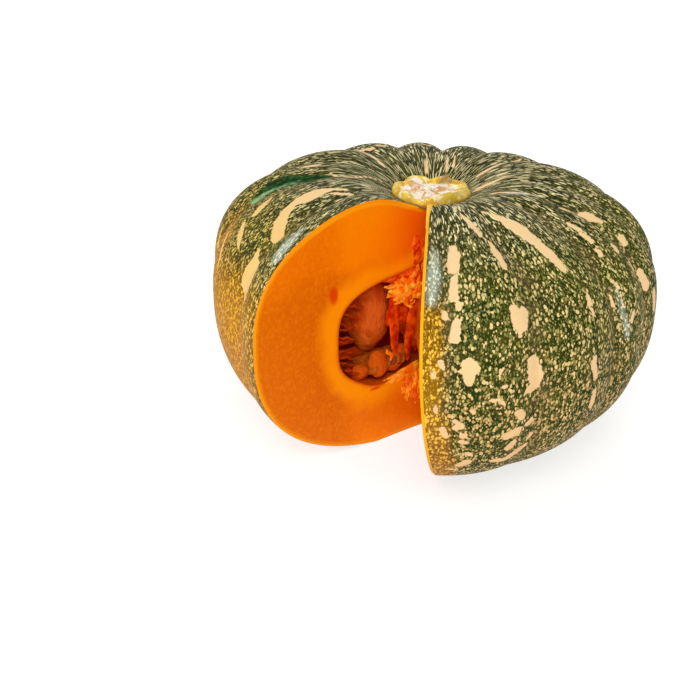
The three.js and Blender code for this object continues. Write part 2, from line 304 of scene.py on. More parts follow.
def node(tree, kind, values=None, **settings):
    made = tree.nodes.new(kind)
    for key, value in settings.items():
        setattr(made, key, value)
    for key, value in (values or {}).items():
        if hasattr(value, "is_linked"):
            tree.links.new(value, made.inputs[key])
        else:
            made.inputs[key].default_value = value
    return made


def attribute(tree, name, out="Fac"):
    return node(tree, "ShaderNodeAttribute", attribute_name=name).outputs[out]


def calc(tree, operation, a, b=0.0):
    return node(tree, "ShaderNodeMath", {0: a, 1: b}, operation=operation).outputs[0]


def times(tree, a, b):
    return calc(tree, "MULTIPLY", a, b)


def plus(tree, a, b):
    return calc(tree, "ADD", a, b)


def minus(tree, a, b):
    return calc(tree, "SUBTRACT", a, b)


def vectorCalc(tree, operation, a, b):
    second = "Scale" if operation == "SCALE" else 1
    return node(tree, "ShaderNodeVectorMath", {0: a, second: b}, operation=operation).outputs[0]


# Goes from start to end as value goes from low to high, as 3s^2 - 2s^3
def ramp(tree, value, low, high, start=0.0, end=1.0):
    values = {"Value": value, "From Min": low, "From Max": high, "To Min": start, "To Max": end}
    return node(tree, "ShaderNodeMapRange", values, interpolation_type="SMOOTHSTEP").outputs["Result"]


# sRGB from 0 to 255 turned to linear light
def linear(tone):
    share = np.array(tone) / 255
    return tuple(np.where(share <= 0.04045, share / 12.92, ((share + 0.055) / 1.055) ** 2.4).tolist())


# Mixes two colours, each a socket or an sRGB tone; a Mix node has its colours at inputs 6 and 7 and output 2
def blend(tree, share, first, second, way="MIX"):
    made = tree.nodes.new("ShaderNodeMix")
    made.data_type = "RGBA"
    made.blend_type = way
    for key, value in ((0, share), (6, first), (7, second)):
        if hasattr(value, "is_linked"):
            tree.links.new(value, made.inputs[key])
        else:
            made.inputs[key].default_value = value if key == 0 else (*linear(value), 1)
    return made.outputs[2]


def noise(tree, spot, scale, detail=3.0, rough=0.55, warp=0.0, out="Fac"):
    values = {"Vector": spot, "Scale": scale, "Detail": detail, "Roughness": rough, "Distortion": warp}
    return node(tree, "ShaderNodeTexNoise", values).outputs[out]


# Object coordinates in millimetres; upright under 1 draws a pattern out in height
def millimetres(tree, upright=1.0):
    vector = node(tree, "ShaderNodeTexCoord").outputs["Object"]
    scale = (1 / metre, 1 / metre, upright / metre)
    return node(tree, "ShaderNodeMapping", {"Vector": vector, "Scale": scale}).outputs["Vector"]


# Colour from a socket, and the numbers that are the same all over set on the shader's own sockets
def setFinish(tree, shader, body, finish):
    tree.links.new(body, shader.inputs["Base Color"])
    for key, value in finish.items():
        shader.inputs[key].default_value = value


def addRelief(tree, shader, height, strength, depth):
    bump = node(tree, "ShaderNodeBump", {"Height": height, "Strength": strength, "Distance": depth * metre})
    tree.links.new(bump.outputs["Normal"], shader.inputs["Normal"])


# Rind: skin, nicked edges along both cuts, inner side
rind = {
    "thickness": 1.3,
    "nicks": (1.7, 1.0),        # how far the skin's edge stays back from the right and the left cut
    "columns": 372,
    "innerColumns": 184,
    "rows": 150,
    "firstRing": 0.131,
    "fan": 10,
    "edgeShares": (0, 0.15, 0.5, 1),
    "fleckCell": 1.08,
    "fleckRadius": (0.14, 0.6, 0.1),    # least, most and soft edge, as shares of a cell
    "fineCell": 0.66,
    "fineRadius": (0.1, 0.6, 0.12),
    "fleckScatter": 0.9,
    "fleckLength": 0.56,        # along the meridian a cell is 1 / 0.56 as long as it is wide
    "girth": 112.0,             # radius of the cylinder that the skin's pattern is wrapped on
    "crownPace": (0.26, 35, 112),       # the pattern's step by the stem, growing to 1 between these radii
    "basePace": (30, 2.2),      # below, the step grows as the radius shrinks: least radius and most step
    "finish": {"Roughness": 0.58, "Specular IOR Level": 0.05},
    "relief": (0.3, 0.5),       # strength and depth in millimetres
}

# Colours of the skin, as sRGB
skinTones = {
    "ground": ((18, 40, 4), (46, 58, 6)),
    "worn": (84, 70, 20),
    "byStem": (12, 18, 0),
    "fineFlecks": ((74, 82, 26), (168, 156, 84)),
    "flecks": ((114, 116, 46), (226, 202, 132)),
    "highFlecks": (255, 240, 184),
    "lowFlecks": (214, 160, 104),
    # The next colour is brown-grey in the grooves, partly painted shade
    "grooveBrownAndShade": (96, 78, 46),
    "ochre": ((244, 180, 28), (168, 106, 54)),
    "ochreLeft": (226, 148, 44),
    "ochrePink": (226, 152, 90),
    "ochreFine": (228, 172, 60),
    "ochreFlecks": (248, 194, 62),
    "ochreVeins": (116, 74, 0),
    "green": ((18, 46, 14), (46, 88, 34)),
    # The next colour is a painted highlight along the green band's lower edge
    "paintedHighlight": (150, 196, 160),
    "peach": ((230, 200, 146), (224, 172, 118)),
    "palePeach": (240, 200, 148),
    "scar": (24, 36, 12),
    # The next colour is white waxy bloom, partly a painted highlight
    "bloomAndHighlight": (224, 230, 208),
    "leftTint": (255, 244, 186),
    "rim": ((176, 148, 20), (240, 172, 20)),
    "rimLow": (222, 144, 50),
    "rimLeft": (236, 140, 8),
}

# Where the skin's colours change: azimuths in degrees, and distances in millimetres from the stem along
# the outline. Each pair is where a change starts and ends.
skinPlaces = {
    "high": (110, 60),
    "warm": (110, 190),
    "bandEdge": (-60.5, -64.5),
    "bandTop": (106, 120),
    "bandFarSide": (-95, -90),
    "bandDrift": (150, 210, 0.0, 4.0),      # the band widens by 4 degrees over these distances
    "leftEdge": (-104, -112),
    "leftTop": (112, 142),
    "leftPatch": (-150, 14, 6),     # its middle, and the distances from it over which it grows
    "leftPatchTop": (104, 126),
    "leftEnd": (-176, -156),
    "ochreLow": (142, 190),
    "ochreLeft": (-108, -116),
    "ochreLeftTop": (124, 156),
    "veins": (120, 200, 0.95, 0.6),
    "tintTurn": (-108, -122),
    "tintTop": (60, 110),
    "rimLow": (175, 225),
    "rimLeft": (-86, -96),
}

# Marks on the skin as tapered strokes. Each point is an azimuth, a distance from the stem along the
# outline and a half width, in degrees and millimetres.
peachStrokes = (
    ((-46.9, 119, 2.4), (-46.9, 126, 2.2)), ((-44.3, 120, 2.3), (-45.3, 127, 2.2)),
    ((-45.9, 123, 3.0), (-46.5, 131, 1.0)), ((-57.4, 141, 3.4), (-57.5, 149, 1.8)),
    ((-59.2, 144, 1.2), (-55.9, 143, 1.6)), ((-43.6, 144, 3.2), (-42.8, 152, 4.3)),
    ((-42.4, 156, 2.4), (-45.0, 158, 1.5)), ((-58.5, 81, 1.0), (-58.8, 86, 2.5), (-59.3, 95, 2.5)),
    ((-59.3, 99, 1.2), (-59.8, 105, 1.9), (-59.9, 110, 2.0)), ((-58.9, 113, 1.5), (-59.1, 115, 1.4)),
    ((-61.9, 116, 1.2), (-61.9, 119, 1.3)), ((-59.6, 121, 1.6), (-60.2, 129, 2.4)),
    ((-46.8, 80, 0.5), (-46.1, 89, 2.3), (-45.6, 98, 1.2)),
    ((-40.0, 55, 0.3), (-37.0, 63, 0.9), (-34.8, 72, 2.9), (-33.4, 80, 3.3), (-32.2, 88, 2.7),
     (-31.0, 97, 2.7), (-29.7, 106, 2.0)),
    ((-52.2, 59, 0.7), (-50.2, 68, 1.5), (-48.8, 78, 0.9)),
    ((28.0, 25, 2.2), (27.8, 33, 1.6), (32.7, 44, 0.8)),
    ((16.9, 42, 0.7), (19.9, 49, 1.1), (21.5, 57, 0.8)),
    ((-11.3, 39, 0.8), (-6.4, 54, 1.0), (2.6, 67, 0.7)),
    ((57.1, 30, 0.8), (57.3, 44, 1.2), (63.5, 60, 1.0), (68.5, 74, 0.7)),
    ((-6.1, 77, 1.0), (-1.7, 84, 1.9)), ((3.0, 84, 1.0), (4.2, 90, 2.4), (4.9, 96, 1.1)),
    ((-11.8, 85, 0.6), (-11.1, 92, 1.6)), ((-11.8, 94, 1.2), (-11.4, 100, 1.7)),
    ((-12.1, 105, 1.3), (-12.3, 108, 1.6)), ((-0.2, 119, 1.8), (-1.9, 123, 2.0)),
    ((-4.8, 109, 2.2), (-5.0, 111, 2.1)), ((5.2, 109, 2.2), (4.6, 112, 2.0)),
    ((3.6, 129, 2.2), (4.4, 137, 3.2)), ((8.0, 144, 2.4), (8.4, 152, 2.6)),
    ((-10.0, 141, 1.3), (-10.8, 144, 1.5)), ((-26.2, 120, 0.5), (-26.6, 126, 1.8), (-26.4, 132, 0.8)),
    ((-13.9, 121, 0.5), (-12.9, 126, 1.1)), ((-16.0, 127, 0.6), (-16.0, 133, 1.2)),
    ((-33.5, 155, 1.2), (-33.2, 156, 1.2)), ((-27.2, 152, 2.0), (-27.4, 155, 2.1)),
    ((-26.5, 158, 2.2), (-26.3, 161, 2.0)), ((-25.7, 169, 1.6), (-25.8, 177, 2.1)),
    ((-46.9, 167, 2.0), (-45.8, 170, 2.2)), ((-48.9, 179, 2.2), (-46.5, 178, 2.6)),
    ((-46.8, 185, 1.8), (-47.6, 188, 2.2)),
    ((-50.3, 197, 1.7), (-47.2, 199, 2.4), (-45.0, 195, 2.4), (-42.5, 192, 1.6)),
    ((-43.8, 176, 1.6), (-42.9, 175, 1.7)), ((-42.8, 187, 1.3), (-42.0, 185, 1.5)),
    ((-59.6, 172, 1.5), (-58.6, 171, 1.9)), ((-58.5, 176, 1.1), (-57.3, 176, 1.1)),
    ((-58.4, 180, 1.2), (-57.2, 180, 1.3)), ((-62.1, 174, 1.7), (-61.5, 178, 1.4)),
    ((-57.9, 199, 1.8), (-56.2, 195, 2.0)), ((-59.7, 204, 1.1), (-58.2, 205, 1.1)),
    ((-56.8, 188, 1.2), (-56.0, 189, 1.3)), ((-59.9, 168, 1.1), (-59.5, 168, 0.9)),
    ((-56.5, 163, 1.2), (-56.1, 164, 0.9)), ((-62.9, 140, 1.4), (-62.5, 143, 1.0)),
    ((-64.4, 144, 0.9), (-64.2, 147, 0.7)), ((-63.8, 161, 1.2), (-63.6, 164, 1.2)),
    ((-52.9, 158, 1.2), (-52.4, 158, 1.1)), ((-51.0, 159, 1.4), (-50.7, 160, 1.2)),
    ((-51.5, 163, 0.9), (-50.5, 161, 1.1)), ((-50.8, 152, 1.1), (-50.0, 152, 1.1)),
    ((-51.3, 144, 1.0), (-51.3, 146, 1.2)), ((119.2, 40, 0.5), (119.5, 27, 0.9)),
    ((102.7, 46, 0.6), (97.0, 30, 0.9)), ((96.0, 45, 0.6), (92.6, 34, 0.7)),
    ((-120.4, 100, 3.8), (-124.8, 94, 4.2), (-128.5, 88, 2.9), (-130.5, 82, 2.6), (-130.8, 76, 4.4),
     (-131.2, 69, 4.3), (-130.2, 62, 2.0)),
    ((-130.9, 61, 1.2), (-126.0, 53, 0.9)), ((-126.6, 62, 1.0), (-120.0, 52, 0.8)),
    ((-139.8, 102, 2.6), (-142.3, 97, 2.9), (-145.6, 91, 1.1)),
    ((-131.3, 119, 1.0), (-135.7, 114, 2.4), (-141.0, 109, 1.0)),
    ((-122.5, 111, 1.0), (-121.0, 116, 2.2), (-119.5, 121, 5.6), (-118.9, 127, 6.6), (-118.0, 131, 4.4),
     (-116.4, 136, 1.3)),
    ((-161.3, 57, 0.8), (-152.8, 47, 1.1), (-174.3, 27, 0.7)), ((151.2, 75, 0.6), (147.0, 59, 1.6)),
    ((155.0, 61, 1.2), (159.5, 35, 0.7)), ((-162.1, 130, 1.0), (-160.6, 141, 1.2)),
    ((-146.2, 121, 1.2), (-141.3, 130, 1.5), (-139.0, 137, 1.2)),
)
# White waxy bloom with painted highlights: pale patches where the lamps' reflections fall on the skin
bloomAndHighlightStrokes = (
    ((-64.0, 82, 2.2), (-64.4, 98, 4.2), (-65.0, 112, 3.0)),
    ((-110.6, 90, 2.4), (-110.4, 99, 5.2), (-109.6, 109, 4.2)),
    ((-12.0, 46, 1.6), (-6.0, 56, 2.8), (-3.0, 62, 1.6)),
    ((-13.8, 125, 1.0), (-13.8, 137, 2.2), (-12.5, 150, 3.0)),
)
greenStrokes = (
    ((-159.6, 101, 2.4), (-162.0, 91, 4.8), (-162.2, 82, 5.2), (-160.6, 73, 3.8), (-158.3, 56, 1.6)),
    ((-151.0, 72, 1.4), (-149.5, 59, 1.8), (-150.2, 48, 1.0)),
)
# Painted highlight: a thin pale teal line along the lower edge of the green band
paintedHighlightStrokes = (
    ((-158.5, 104, 2.2), (-159.4, 97, 1.6), (-159.9, 90, 1.2), (-159.7, 82, 1.0), (-159.8, 73, 0.8)),
)
scarStrokes = (
    ((-26.5, 127, 0.5), (-28.4, 130, 0.5), (-30.3, 134, 0.5), (-30.1, 139, 0.5), (-28.4, 142, 0.5),
     (-26.6, 140, 0.6)),
    ((-25.4, 127, 0.5), (-26.2, 133, 0.8), (-26.5, 145, 0.8), (-25.2, 164, 0.6)),
)
backRule = {
    "seed": 5,
    "perRib": 8,
    "ribs": (40, 64, 87, 109, 130, 151, 176, 202),
    "spread": 0.34,
    "arcs": (52, 225),          # distance from the stem
    "lengths": (2.0, 9.0),
    "high": 100,                # strokes nearer the stem than this are drawn out, the others drawn in
    "highStretch": 1.8,
    "lowStretch": 0.8,
    "widths": (0.9, 3.4),
    "lean": 1.5,                # degrees that a stroke leans over its length, either way
}


# Strokes drawn by chance on the ribs that the photograph doesn't show, longer near the stem
def backStrokes():
    draw = np.random.default_rng(backRule["seed"])
    made = []
    marks = backRule["ribs"]
    for start, end in zip(marks[:-1], marks[1:]):
        for _ in range(backRule["perRib"]):
            arc = draw.uniform(*backRule["arcs"])
            stretch = backRule["highStretch"] if arc < backRule["high"] else backRule["lowStretch"]
            length = draw.uniform(*backRule["lengths"]) * stretch
            width = draw.uniform(*backRule["widths"]) * smooth(arc, 20, backRule["high"]).item()
            spot = (start + end) / 2 + (end - start) * backRule["spread"] * draw.uniform(-1, 1)
            lean = draw.uniform(-backRule["lean"], backRule["lean"])
            made.append((
                (spot - lean, arc, width * 0.5),
                (spot, arc + length * 0.5, width),
                (spot + lean, arc + length, width * 0.6),
            ))
    return tuple(made)


# Millimetres inside the nearest stroke: max over its segments of w - |p - c|, c the nearest point, w blended
def strokeField(strokes, azimuth, arc, reach):
    nothing, margin = -6.0, 16      # the field far from every stroke, and how far along a stroke reaches
    field = np.full(azimuth.shape, nothing, np.float32)
    for stroke in strokes:
        for (fromTurn, fromArc, fromWidth), (toTurn, toArc, toWidth) in zip(stroke[:-1], stroke[1:]):
            near = np.abs(arc - (fromArc + toArc) / 2) < abs(toArc - fromArc) / 2 + margin
            turn = np.degrees(np.angle(np.exp(1j * (azimuth[near] - np.radians(fromTurn)))))
            pace = np.radians(1) * reach[near]
            u, v = turn * pace, arc[near] - fromArc
            du, dv = (toTurn - fromTurn) * pace, toArc - fromArc
            share = np.clip((u * du + v * dv) / (du * du + dv * dv + 1e-6), 0, 1)
            gap = np.hypot(u - share * du, v - share * dv)
            field[near] = np.maximum(field[near], fromWidth + share * (toWidth - fromWidth) - gap)
    return field


# Skin and inner side are swept round from cut to cut, and a strip o (1 - s) + i s joins them along each cut
def buildRind():
    turns = np.linspace(0, 1, rind["columns"])
    polars = np.linspace(rind["firstRing"], np.pi - rind["firstRing"], rind["rows"])
    outer = sweepRound(skinSurface(0), skinPolar, turns, polars, rind["fan"], rind["nicks"])
    coarse = np.linspace(0, 1, rind["innerColumns"])
    inner = sweepRound(skinSurface(rind["thickness"]), skinPolar, coarse, polars, rind["fan"])
    across = outer[0].shape[1]
    points, faces, azimuths, angles, depths, edges = [], [], [], [], [], []
    start = 0

    def add(x, y, z, f, q, depth, edge):
        nonlocal start
        rows = x.shape[0]
        points.append(np.stack([x, y, z], -1).reshape(-1, 3))
        azimuths.append(f.ravel())
        angles.append(q.ravel())
        depths.append(np.broadcast_to(depth, x.shape).ravel())
        edges.append(np.broadcast_to(edge, x.shape).ravel())
        faces.append(quads(rows, start, across))
        start += x.size

    add(*outer, 0.0, 0.0)
    add(*inner, 1.0, 1.0)
    share = np.array(rind["edgeShares"])[:, None]
    for end in (0, -1):     # strips from the nicked skin edge to the inner edge at each cut
        strip = [o[end] * (1 - share) + i[end] * share for o, i in zip(outer, inner)]
        add(*strip, share, np.sign(share))
    f, q = np.concatenate(azimuths), np.concatenate(angles)
    fine = np.linspace(0, np.pi, 2000)
    r, z = outline(fine)
    arcs = np.concatenate([[0], np.cumsum(np.hypot(np.diff(r), np.diff(z)))])
    arc = np.interp(q, fine, arcs)
    least, crownStart, crownEnd = rind["crownPace"]
    leastRadius, most = rind["basePace"]
    girth = rind["girth"]
    crownPace = least + (1 - least) * smooth(r, crownStart, crownEnd)
    basePace = np.clip(girth / np.maximum(r, leastRadius), 1, most)
    pace = np.where(fine < np.pi / 2, crownPace, basePace)
    lengths = np.concatenate([[0], np.cumsum(pace[1:] * np.diff(arcs))])
    down = np.interp(q, fine, lengths)
    reach = np.interp(q, fine, r)
    numbers = {
        "skin": np.stack([girth * np.cos(f), girth * np.sin(f), down], -1),
        "blotch": strokeField(peachStrokes + backStrokes(), f, arc, reach),
        "bloomAndHighlight": strokeField(bloomAndHighlightStrokes, f, arc, reach),
        "green": strokeField(greenStrokes, f, arc, reach),
        "paintedHighlight": strokeField(paintedHighlightStrokes, f, arc, reach),
        "scar": strokeField(scarStrokes, f, arc, reach),
        "groove": (1 - ribHeight(f)) * smooth(q, 0.1, 0.5) * (1 - smooth(q, 2.2, 2.9)),
        "turn": np.degrees(np.angle(np.exp(1j * f))),
        "arc": arc,
        "depth": np.concatenate(depths),
        "edge": np.concatenate(edges),
    }
    piece = makePiece("rindSkin", np.concatenate(points), np.concatenate(faces), numbers)
    piece.data.materials.append(rindMaterial())
    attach(piece, shown)
    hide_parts("rind")


# Pale flecks: one oval to a cell, with a radius that differs from cell to cell
def fleckPattern(tree, warped, cell, least, most, soft):
    longer = {"Vector": warped, "Scale": (1, 1, rind["fleckLength"])}
    spread = node(tree, "ShaderNodeMapping", longer).outputs[0]
    values = {"Vector": spread, "Scale": 1 / cell, "Randomness": rind["fleckScatter"]}
    cells = node(tree, "ShaderNodeTexVoronoi", values)
    lot = node(tree, "ShaderNodeSeparateColor", {"Color": cells.outputs["Color"]}).outputs
    radius = ramp(tree, lot[0], 0.0, 1.0, least, most)
    return ramp(tree, minus(tree, radius, cells.outputs["Distance"]), -soft, soft), lot[1]


# Dark ground, worn in patches, under fine and big flecks and the grooves' brown-grey, partly painted shade
def greenSkin(tree, skin, high, warm, fineFlecks, bigFlecks):
    fine, fineLot = fineFlecks
    big, bigLot = bigFlecks
    worn = ramp(tree, noise(tree, skin, 0.13), 0.36, 0.66)
    body = blend(tree, ramp(tree, noise(tree, skin, 0.05), 0.35, 0.65), *skinTones["ground"])
    body = blend(tree, times(tree, worn, 0.35), body, skinTones["worn"])
    body = blend(tree, times(tree, high, 0.5), body, skinTones["byStem"])
    fineTone = blend(tree, fineLot, *skinTones["fineFlecks"])
    body = blend(tree, times(tree, fine, 0.62), body, fineTone)
    bigTone = blend(tree, ramp(tree, bigLot, 0.05, 0.75), *skinTones["flecks"])
    bigTone = blend(tree, times(tree, high, 0.75), bigTone, skinTones["highFlecks"])
    bigTone = blend(tree, times(tree, warm, 0.5), bigTone, skinTones["lowFlecks"])
    body = blend(tree, times(tree, big, ramp(tree, high, 0.0, 1.0, 1.0, 0.95)), body, bigTone)
    # Brown-grey in patches along the grooves: partly the skin's own colour, partly painted shade in the
    # grooves
    patches = ramp(tree, noise(tree, skin, 0.12), 0.35, 0.65)
    grooveBrownAndShade = times(tree, ramp(tree, attribute(tree, "groove"), 0.3, 0.95), patches)
    return blend(tree, times(tree, grooveBrownAndShade, 0.55), body, skinTones["grooveBrownAndShade"])


# Ochre where the fruit lay: a band beside the right cut and the lower left side
def ochreSkin(tree, body, skin, turn, arc, fine, big):
    ragged = times(tree, minus(tree, noise(tree, skin, 0.1, 4.0), 0.5), 14.0)
    wobbly = plus(tree, turn, times(tree, ragged, 0.4))
    raggedArc = plus(tree, arc, ragged)
    lowTurn = minus(tree, wobbly, ramp(tree, arc, *skinPlaces["bandDrift"]))
    band = ramp(tree, lowTurn, *skinPlaces["bandEdge"])
    band = times(tree, band, ramp(tree, raggedArc, *skinPlaces["bandTop"]))
    band = times(tree, band, ramp(tree, turn, *skinPlaces["bandFarSide"]))
    side = ramp(tree, wobbly, *skinPlaces["leftEdge"])
    side = times(tree, side, ramp(tree, raggedArc, *skinPlaces["leftTop"]))
    middle, fadeStart, fadeEnd = skinPlaces["leftPatch"]
    fromMiddle = calc(tree, "ABSOLUTE", minus(tree, turn, middle))
    side = calc(tree, "MAXIMUM", side, ramp(tree, fromMiddle, fadeStart, fadeEnd))
    side = times(tree, side, ramp(tree, raggedArc, *skinPlaces["leftPatchTop"]))
    farTurn = plus(tree, turn, times(tree, ragged, 2.5))
    side = times(tree, side, ramp(tree, farTurn, *skinPlaces["leftEnd"]))
    left = ramp(tree, turn, *skinPlaces["ochreLeft"])
    left = times(tree, left, ramp(tree, arc, *skinPlaces["ochreLeftTop"]))
    tone = blend(tree, ramp(tree, arc, *skinPlaces["ochreLow"]), *skinTones["ochre"])
    tone = blend(tree, times(tree, left, 0.6), tone, skinTones["ochreLeft"])
    pink = ramp(tree, noise(tree, skin, 0.05, 4.0), 0.42, 0.6)
    tone = blend(tree, times(tree, left, pink), tone, skinTones["ochrePink"])
    tone = blend(tree, times(tree, fine, 0.5), tone, skinTones["ochreFine"])
    pale = ramp(tree, left, 0.0, 1.0, 0.75, 0.5)
    tone = blend(tree, times(tree, big, pale), tone, skinTones["ochreFlecks"])
    net = minus(tree, 1.0, calc(tree, "MAXIMUM", big, times(tree, fine, 0.4)))
    veins = times(tree, net, ramp(tree, arc, *skinPlaces["veins"]))
    veins = times(tree, veins, minus(tree, 1.0, times(tree, left, 0.3)))
    tone = blend(tree, veins, tone, skinTones["ochreVeins"])
    return blend(tree, times(tree, calc(tree, "MAXIMUM", band, side), 0.88), body, tone)


# Marks from the stroke fields, each with a frayed edge: green with a painted highlight, peach, scars, and
# white bloom
def markedSkin(tree, body, skin, warm, big):
    fray = minus(tree, noise(tree, skin, 0.45), 0.5)
    green = plus(tree, attribute(tree, "green"), times(tree, fray, 3.0))
    greenTone = blend(tree, ramp(tree, noise(tree, skin, 0.35, 4.0), 0.4, 0.65), *skinTones["green"])
    body = blend(tree, ramp(tree, green, -0.6, 2.2), body, greenTone)
    # Painted highlight along the green band's lower edge
    paintedHighlight = plus(tree, attribute(tree, "paintedHighlight"), times(tree, fray, 3.0))
    body = blend(tree, times(tree, ramp(tree, paintedHighlight, -0.4, 1.6), 0.85), body, skinTones["paintedHighlight"])
    peach = plus(tree, attribute(tree, "blotch"), times(tree, fray, 2.6))
    peachTone = blend(tree, warm, *skinTones["peach"])
    peachTone = blend(tree, noise(tree, skin, 0.3), peachTone, skinTones["palePeach"])
    body = blend(tree, ramp(tree, peach, -0.2, 0.25), body, peachTone)
    scar = ramp(tree, attribute(tree, "scar"), -0.3, 0.3)
    body = blend(tree, times(tree, scar, 0.8), body, skinTones["scar"])
    # White waxy bloom, partly painted highlights of the lamps, textured by the flecks
    bloomAndHighlight = plus(tree, attribute(tree, "bloomAndHighlight"), times(tree, noise(tree, skin, 1.1, 5.0, 0.75), 8.0))
    bloomAndHighlightMask = times(tree, ramp(tree, bloomAndHighlight, 3.2, 7.6), ramp(tree, big, 0.1, 0.7, 0.45, 1.0))
    return blend(tree, bloomAndHighlightMask, body, skinTones["bloomAndHighlight"])


def rindMaterial():
    material, tree, shader = newMaterial("fleckedSkin")
    skin = attribute(tree, "skin", "Vector")
    wander = vectorCalc(tree, "SUBTRACT", noise(tree, skin, 0.16, 2.0, out="Color"), (0.5, 0.5, 0.5))
    warped = vectorCalc(tree, "ADD", skin, vectorCalc(tree, "SCALE", wander, 3.0))
    turn, arc = attribute(tree, "turn"), attribute(tree, "arc")
    high, warm = ramp(tree, arc, *skinPlaces["high"]), ramp(tree, arc, *skinPlaces["warm"])
    big, bigLot = fleckPattern(tree, warped, rind["fleckCell"], *rind["fleckRadius"])
    fine, fineLot = fleckPattern(tree, warped, rind["fineCell"], *rind["fineRadius"])
    # Near the stem fewer and brighter ones, drawn out to streaks
    sparse = times(tree, high, ramp(tree, bigLot, 0.5, 0.3))
    big = times(tree, big, minus(tree, 1.0, sparse))
    body = greenSkin(tree, skin, high, warm, (fine, fineLot), (big, bigLot))
    body = ochreSkin(tree, body, skin, turn, arc, fine, big)
    body = markedSkin(tree, body, skin, warm, big)
    leftSide = ramp(tree, turn, *skinPlaces["tintTurn"])
    leftSide = times(tree, leftSide, ramp(tree, arc, *skinPlaces["tintTop"]))
    body = blend(tree, times(tree, leftSide, 0.75), body, skinTones["leftTint"], "MULTIPLY")
    # The cut edge: green outside, then bright yellow towards the flesh
    rim = blend(tree, ramp(tree, attribute(tree, "depth"), 0.02, 0.25), *skinTones["rim"])
    rim = blend(tree, ramp(tree, arc, *skinPlaces["rimLow"]), rim, skinTones["rimLow"])
    rim = blend(tree, ramp(tree, turn, *skinPlaces["rimLeft"]), rim, skinTones["rimLeft"])
    body = blend(tree, attribute(tree, "edge"), body, rim)
    setFinish(tree, shader, body, rind["finish"])
    raised = plus(tree, times(tree, big, 0.6), times(tree, noise(tree, skin, 0.9, 4.0), 0.8))
    addRelief(tree, shader, raised, *rind["relief"])
    return material


# Flesh: both cut faces, the cavity wall and the side under the rind
flesh = {
    "clearance": 0.02,
    "columns": 116,
    "faceSteps": 64,
    "cavityRing": 0.28,
    "ripple": 0.16,
    "wallRelief": 0.9,
    "farAway": 60.0,        # distance of the rind's side from the cavity, and of the wall from the rind
    "bruises": ((61.0, 89.6, 3.2, 5.5), (34.5, 31.6, 4.4, 1.0)),    # along the cut, up, half sizes
    "finish": {
        "Roughness": 0.5,
        "Specular IOR Level": 0.05,
        "Subsurface Weight": 0.15,
        "Subsurface Radius": (1.0, 0.4, 0.1),
        "Subsurface Scale": 0.004,
    },
    "relief": (0.28, 0.4),
}

fleshTones = {
    "body": ((224, 110, 0), (234, 124, 0)),
    # The next two: deeper orange outward on the cut faces, partly painted shade, and lighter orange over the
    # top, partly painted light
    "side": (206, 98, 0),
    "shoulder": (244, 138, 0),
    "grain": (252, 152, 8),
    # The next colour is redder flesh near the apex, partly painted shade
    "ruddyAndShade": (224, 74, 2),
    "ring": (255, 160, 4),
    "bruise": (216, 58, 0),
    "underRind": (250, 160, 8),
    "wall": (190, 72, 6),
}


